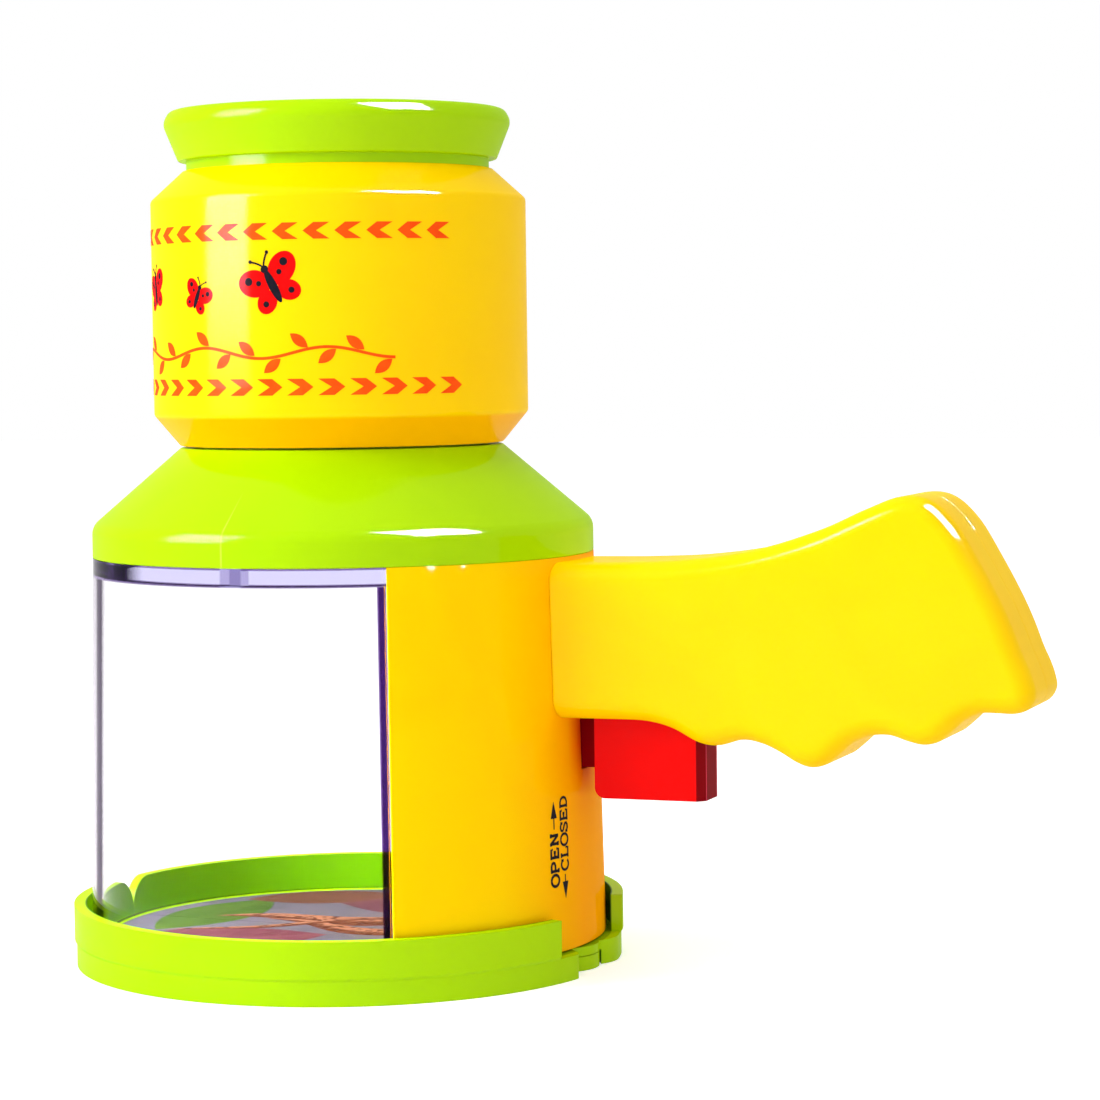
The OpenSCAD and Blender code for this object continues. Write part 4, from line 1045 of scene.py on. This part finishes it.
def make_drum_print():
    """Two rows of chevrons, and three butterflies and a trail of leaves between them."""
    marks = []
    for k in range(CHEVRON_COUNT):
        for first, z, way in CHEVRON_ROWS:
            tip = drum_s(first - CHEVRON_PITCH * k), z
            marks.append((chevron(tip, CHEVRON_W, CHEVRON_H, way), ORANGE_INK, 0.04))
    for degrees, z, size, turn in BUTTERFLIES:
        marks += butterfly((drum_s(degrees), z), size, turn)
    way = np.linspace(TRAIL_START, TRAIL_END, 90)
    marks.append((stroke(np.stack([drum_s(way), trail_z(way)], -1), 0.5), ORANGE_INK, 0.03))
    for k in range(LEAF_COUNT):
        degrees, up = LEAF_START - LEAF_PITCH * k, 1 if k % 2 else -1
        middle = drum_s(degrees) - 0.9, trail_z(degrees) + up * 1.5
        leaf = leaf_print(middle, LEAF_L, LEAF_W, 180 - up * LEAF_TILT)
        marks.append((leaf, ORANGE_INK, 0.045))
    print_piece("drum_print", marks, on_drum, "drum")


# Letters as lines of x, y pairs in hundredths, on a grid 100 wide and 115 high


def bow(first, last, half_w, half_h, count):
    """Part of an ellipse about the middle of a letter, from one angle in radians to another."""
    a = np.linspace(first, last, count)
    return np.stack([50 + half_w * np.cos(a), 57.5 + half_h * np.sin(a)], -1)


LETTERS = {
    "O": [bow(math.pi / 2, -1.5 * math.pi, 50, 57.5, 21)],
    "P": [(14, 0, 14, 115), (-2, 5, 36, 5), (-2, 110, 20, 110),
          (14, 110, 60, 110, 84, 98, 88, 82, 84, 66, 60, 54, 14, 54)],
    "E": [(14, 0, 14, 115), (-2, 110, 84, 110, 84, 86), (14, 58, 60, 58), (60, 74, 60, 42),
          (-2, 5, 88, 5, 88, 32)],
    "N": [(14, 0, 14, 115), (14, 110, 86, 5), (86, 0, 86, 115), (-4, 110, 24, 110),
          (-4, 5, 34, 5), (68, 110, 104, 110)],
    "C": [bow(0.7, 2 * math.pi - 0.75, 48, 56, 18), (86, 115, 86, 78)],
    "L": [(20, 0, 20, 115), (0, 110, 42, 110), (0, 5, 88, 5, 88, 40)],
    "S": [(82, 95, 66, 110, 40, 113, 20, 102, 16, 82, 30, 67, 62, 54, 82, 40, 84, 20, 66, 5,
           40, 2, 18, 14, 12, 26), (84, 115, 84, 80), (12, 0, 12, 36)],
    "D": [(16, 0, 16, 115), (0, 110, 50, 110, 78, 95, 90, 70, 90, 45, 78, 20, 50, 5, 0, 5)],
}
LETTER_SIZE = 1.9
OPEN_S, CLOSED_S = (math.radians(a) * WALL_FOOT_R for a in (-14.2, -10.4))
ARROW_ASIDE = 1.1
HEAD_L, HEAD_HALF_W, SHAFT_T = 2.8, 0.85, 0.28


def word_marks(word, start_s, start_z, advance, thick):
    """The strokes of a word that is read upwards: a letter's own x runs up the wall and its own
    y runs round it, towards smaller angles."""
    marks = []
    for k, letter in enumerate(word):
        for line in LETTERS[letter]:
            x, y = np.reshape(line, (-1, 2)).T / 100 * LETTER_SIZE
            flat = np.stack([start_s - y, start_z + k * advance + x], -1)
            if len(flat) == 2:
                flat = flat[0] + (flat[1] - flat[0]) * np.linspace(0, 1, 3)[:, None]
            marks.append((stroke(flat, thick), BLACK_INK, 0.04))
    return marks


def arrow_marks(s, tail, tip):
    """A shaft and a slim triangular head along the wall, from tail to tip."""
    way = 1 if tip > tail else -1
    shaft = np.stack([np.full(6, s), np.linspace(tail, tip - way * 2.4, 6)], -1)
    share = np.linspace(0, 1, 6)
    half_w, z = HEAD_HALF_W * (1.02 - share), tip - way * HEAD_L * (1 - share)
    head = np.stack([np.stack([s - half_w, z], -1), np.stack([s + half_w, z], -1)], 1)
    return [(stroke(shaft, SHAFT_T), BLACK_INK, 0.04),
            ((head.reshape(-1, 2), quads(6, 2)), BLACK_INK, 0.045)]


def make_wall_words():
    """The plain trigger guide on the rear wall: OPEN with an arrow up, CLOSED with one down."""
    marks = word_marks("OPEN", OPEN_S, 15.5, 2.28, 0.50)
    marks += word_marks("CLOSED", CLOSED_S, 17.9, 2.08, 0.44)
    marks += arrow_marks(OPEN_S - ARROW_ASIDE, 25.0, 29.6)
    marks += arrow_marks(CLOSED_S - ARROW_ASIDE, 17.2, 13.2)
    print_piece("wall_words", marks, on_wall, "jar")


make_column()
make_spring()
make_floor_card("near_card_print", "near_base", -1, "near_floor_card")
make_floor_card("far_card_print", "far_base", 1, "far_floor_card")
turned_piece("drum_shell", DRUM_OUTLINE, "drum", "yellow_plastic", DRUM_YELLOW, "viewer_drum")
turned_piece("collar_shell", COLLAR_OUTLINE, "jar", "green_plastic", COLLAR_GREEN, "collar")
three_lugs("collar_lugs", LUG_OUTLINE, LUG_WIDTH, "jar")
turned_piece("eyepiece_cup", EYEPIECE_OUTLINE, "eye_tube", "green_plastic", GREEN, "eyepiece")
three_lugs("eyepiece_hooks", HOOK_OUTLINE, HOOK_WIDTH, "eye_tube")
handle_half("handle_near_half", "handle_near_shell", -1)
handle_half("handle_far_half", "handle_far_shell", 1)
handle_posts("handle_near_posts", -1)
handle_posts("handle_far_posts", 1)
make_drum_print()
make_wall_words()


# Floor, lights, world and camera

FLOOR_HALF, FLOOR_Z = 3000.0, -0.02
FLOOR_GLOW = 0.40
SURROUND_LIGHT = 0.82
LAMP_DISTANCE = 850
AIM_Z = 90
# Name, azimuth, elevation, width, height, power and shine
LAMPS = [
    ("left_window", -137, 22, 460, 620, 5.8, 290),
    ("upper_right", -12, 50, 460, 560, 0, 330),
    ("front", -98, 40, 460, 560, 1.4, 0),
    ("overhead", 90, 80, 600, 600, 1.4, 2),
]
# The roll is in radians
CAMERA_PLACE = 230.33, -517.32, 104.47
CAMERA_WAY = -0.34805, 0.93547, -0.06132
CAMERA_ROLL = -0.012689
CAMERA_LENS = 107.44


def seen_ray(tree):
    """1 for rays from the camera, or from a gloss or clear surface, and otherwise 0."""
    path = node(tree, "LightPath").outputs
    return combined("MAXIMUM", path["Is Camera Ray"], path["Is Glossy Ray"],
                    path["Is Transmission Ray"])


def make_floor():
    """A wide pale floor under the base. Its own faint glow is seen only by the camera and in
    reflections, so that the object's shadow stays."""
    share = np.array([(-1, -1), (1, -1), (1, 1), (-1, 1)], float)
    points = np.hstack([share * FLOOR_HALF, np.full((4, 1), FLOOR_Z)])
    made = new_object("floor", points, [[[0, 1, 2, 3]]])
    material, tree, shader = new_material("pale_floor", {
        "Base Color": (0.80, 0.80, 0.80), "Roughness": 0.9, "Specular IOR Level": 0.0,
        "Emission Color": (1, 1, 1),
    })
    glow = times(seen_ray(tree), FLOOR_GLOW)
    feed(shader["Emission Strength"], glow)
    made.data.materials.append(material)


def make_world():
    """An even white surround: full white where it is seen, weaker as light on the object."""
    world = bpy.data.worlds.new("white_surround")
    bpy.context.scene.world = world
    world.use_nodes = True
    tree = world.node_tree
    back = tree.nodes["Background"].inputs
    feed(back["Color"], (1, 1, 1))
    level = calc("MULTIPLY_ADD", seen_ray(tree), 1 - SURROUND_LIGHT, SURROUND_LIGHT)
    feed(back["Strength"], level)


def softbox(name, azimuth, elevation, width, height, power, shine):
    """A soft rectangular lamp that faces the jar. Power lights the surfaces, and shine is what
    only their gloss shows."""
    a, e = math.radians(azimuth), math.radians(elevation)
    way = Vector((math.cos(a) * math.cos(e), math.sin(a) * math.cos(e), math.sin(e)))
    for part, watts in (("light", power), ("shine", shine)):
        if not watts:
            continue
        lamp = bpy.data.lights.new(f"{name}_{part}", "AREA")
        lamp.shape, lamp.energy = "RECTANGLE", watts
        lamp.size, lamp.size_y = width * MM, height * MM
        made = linked(f"{name}_{part}", lamp)
        made.location = Vector((0, 0, AIM_Z * MM)) + LAMP_DISTANCE * MM * way
        made.rotation_euler = (-way).to_track_quat("-Z", "Y").to_euler()
        if part == "light":
            made.visible_glossy = False
        else:
            made.visible_diffuse = made.visible_transmission = False


def make_camera():
    """The photograph's camera: its place, its direction and the small roll of its frame."""
    forward = Vector(CAMERA_WAY).normalized()
    level = forward.cross(Vector((0, 0, 1))).normalized()
    upward = level.cross(forward)
    right = math.cos(CAMERA_ROLL) * level + math.sin(CAMERA_ROLL) * upward
    up = -math.sin(CAMERA_ROLL) * level + math.cos(CAMERA_ROLL) * upward
    data = bpy.data.cameras.new("camera")
    data.sensor_width, data.lens = 36.0, CAMERA_LENS
    data.clip_start, data.clip_end = 0.01, 20.0
    made = linked("camera", data)
    turn = Matrix((right, up, -forward)).transposed()
    made.matrix_world = Matrix.Translation(Vector(CAMERA_PLACE) * MM) @ turn.to_4x4()
    bpy.context.scene.camera = made


make_floor()
make_world()
for lamp_row in LAMPS:
    softbox(*lamp_row)
make_camera()

bpy.context.scene.view_settings.view_transform = "Standard"
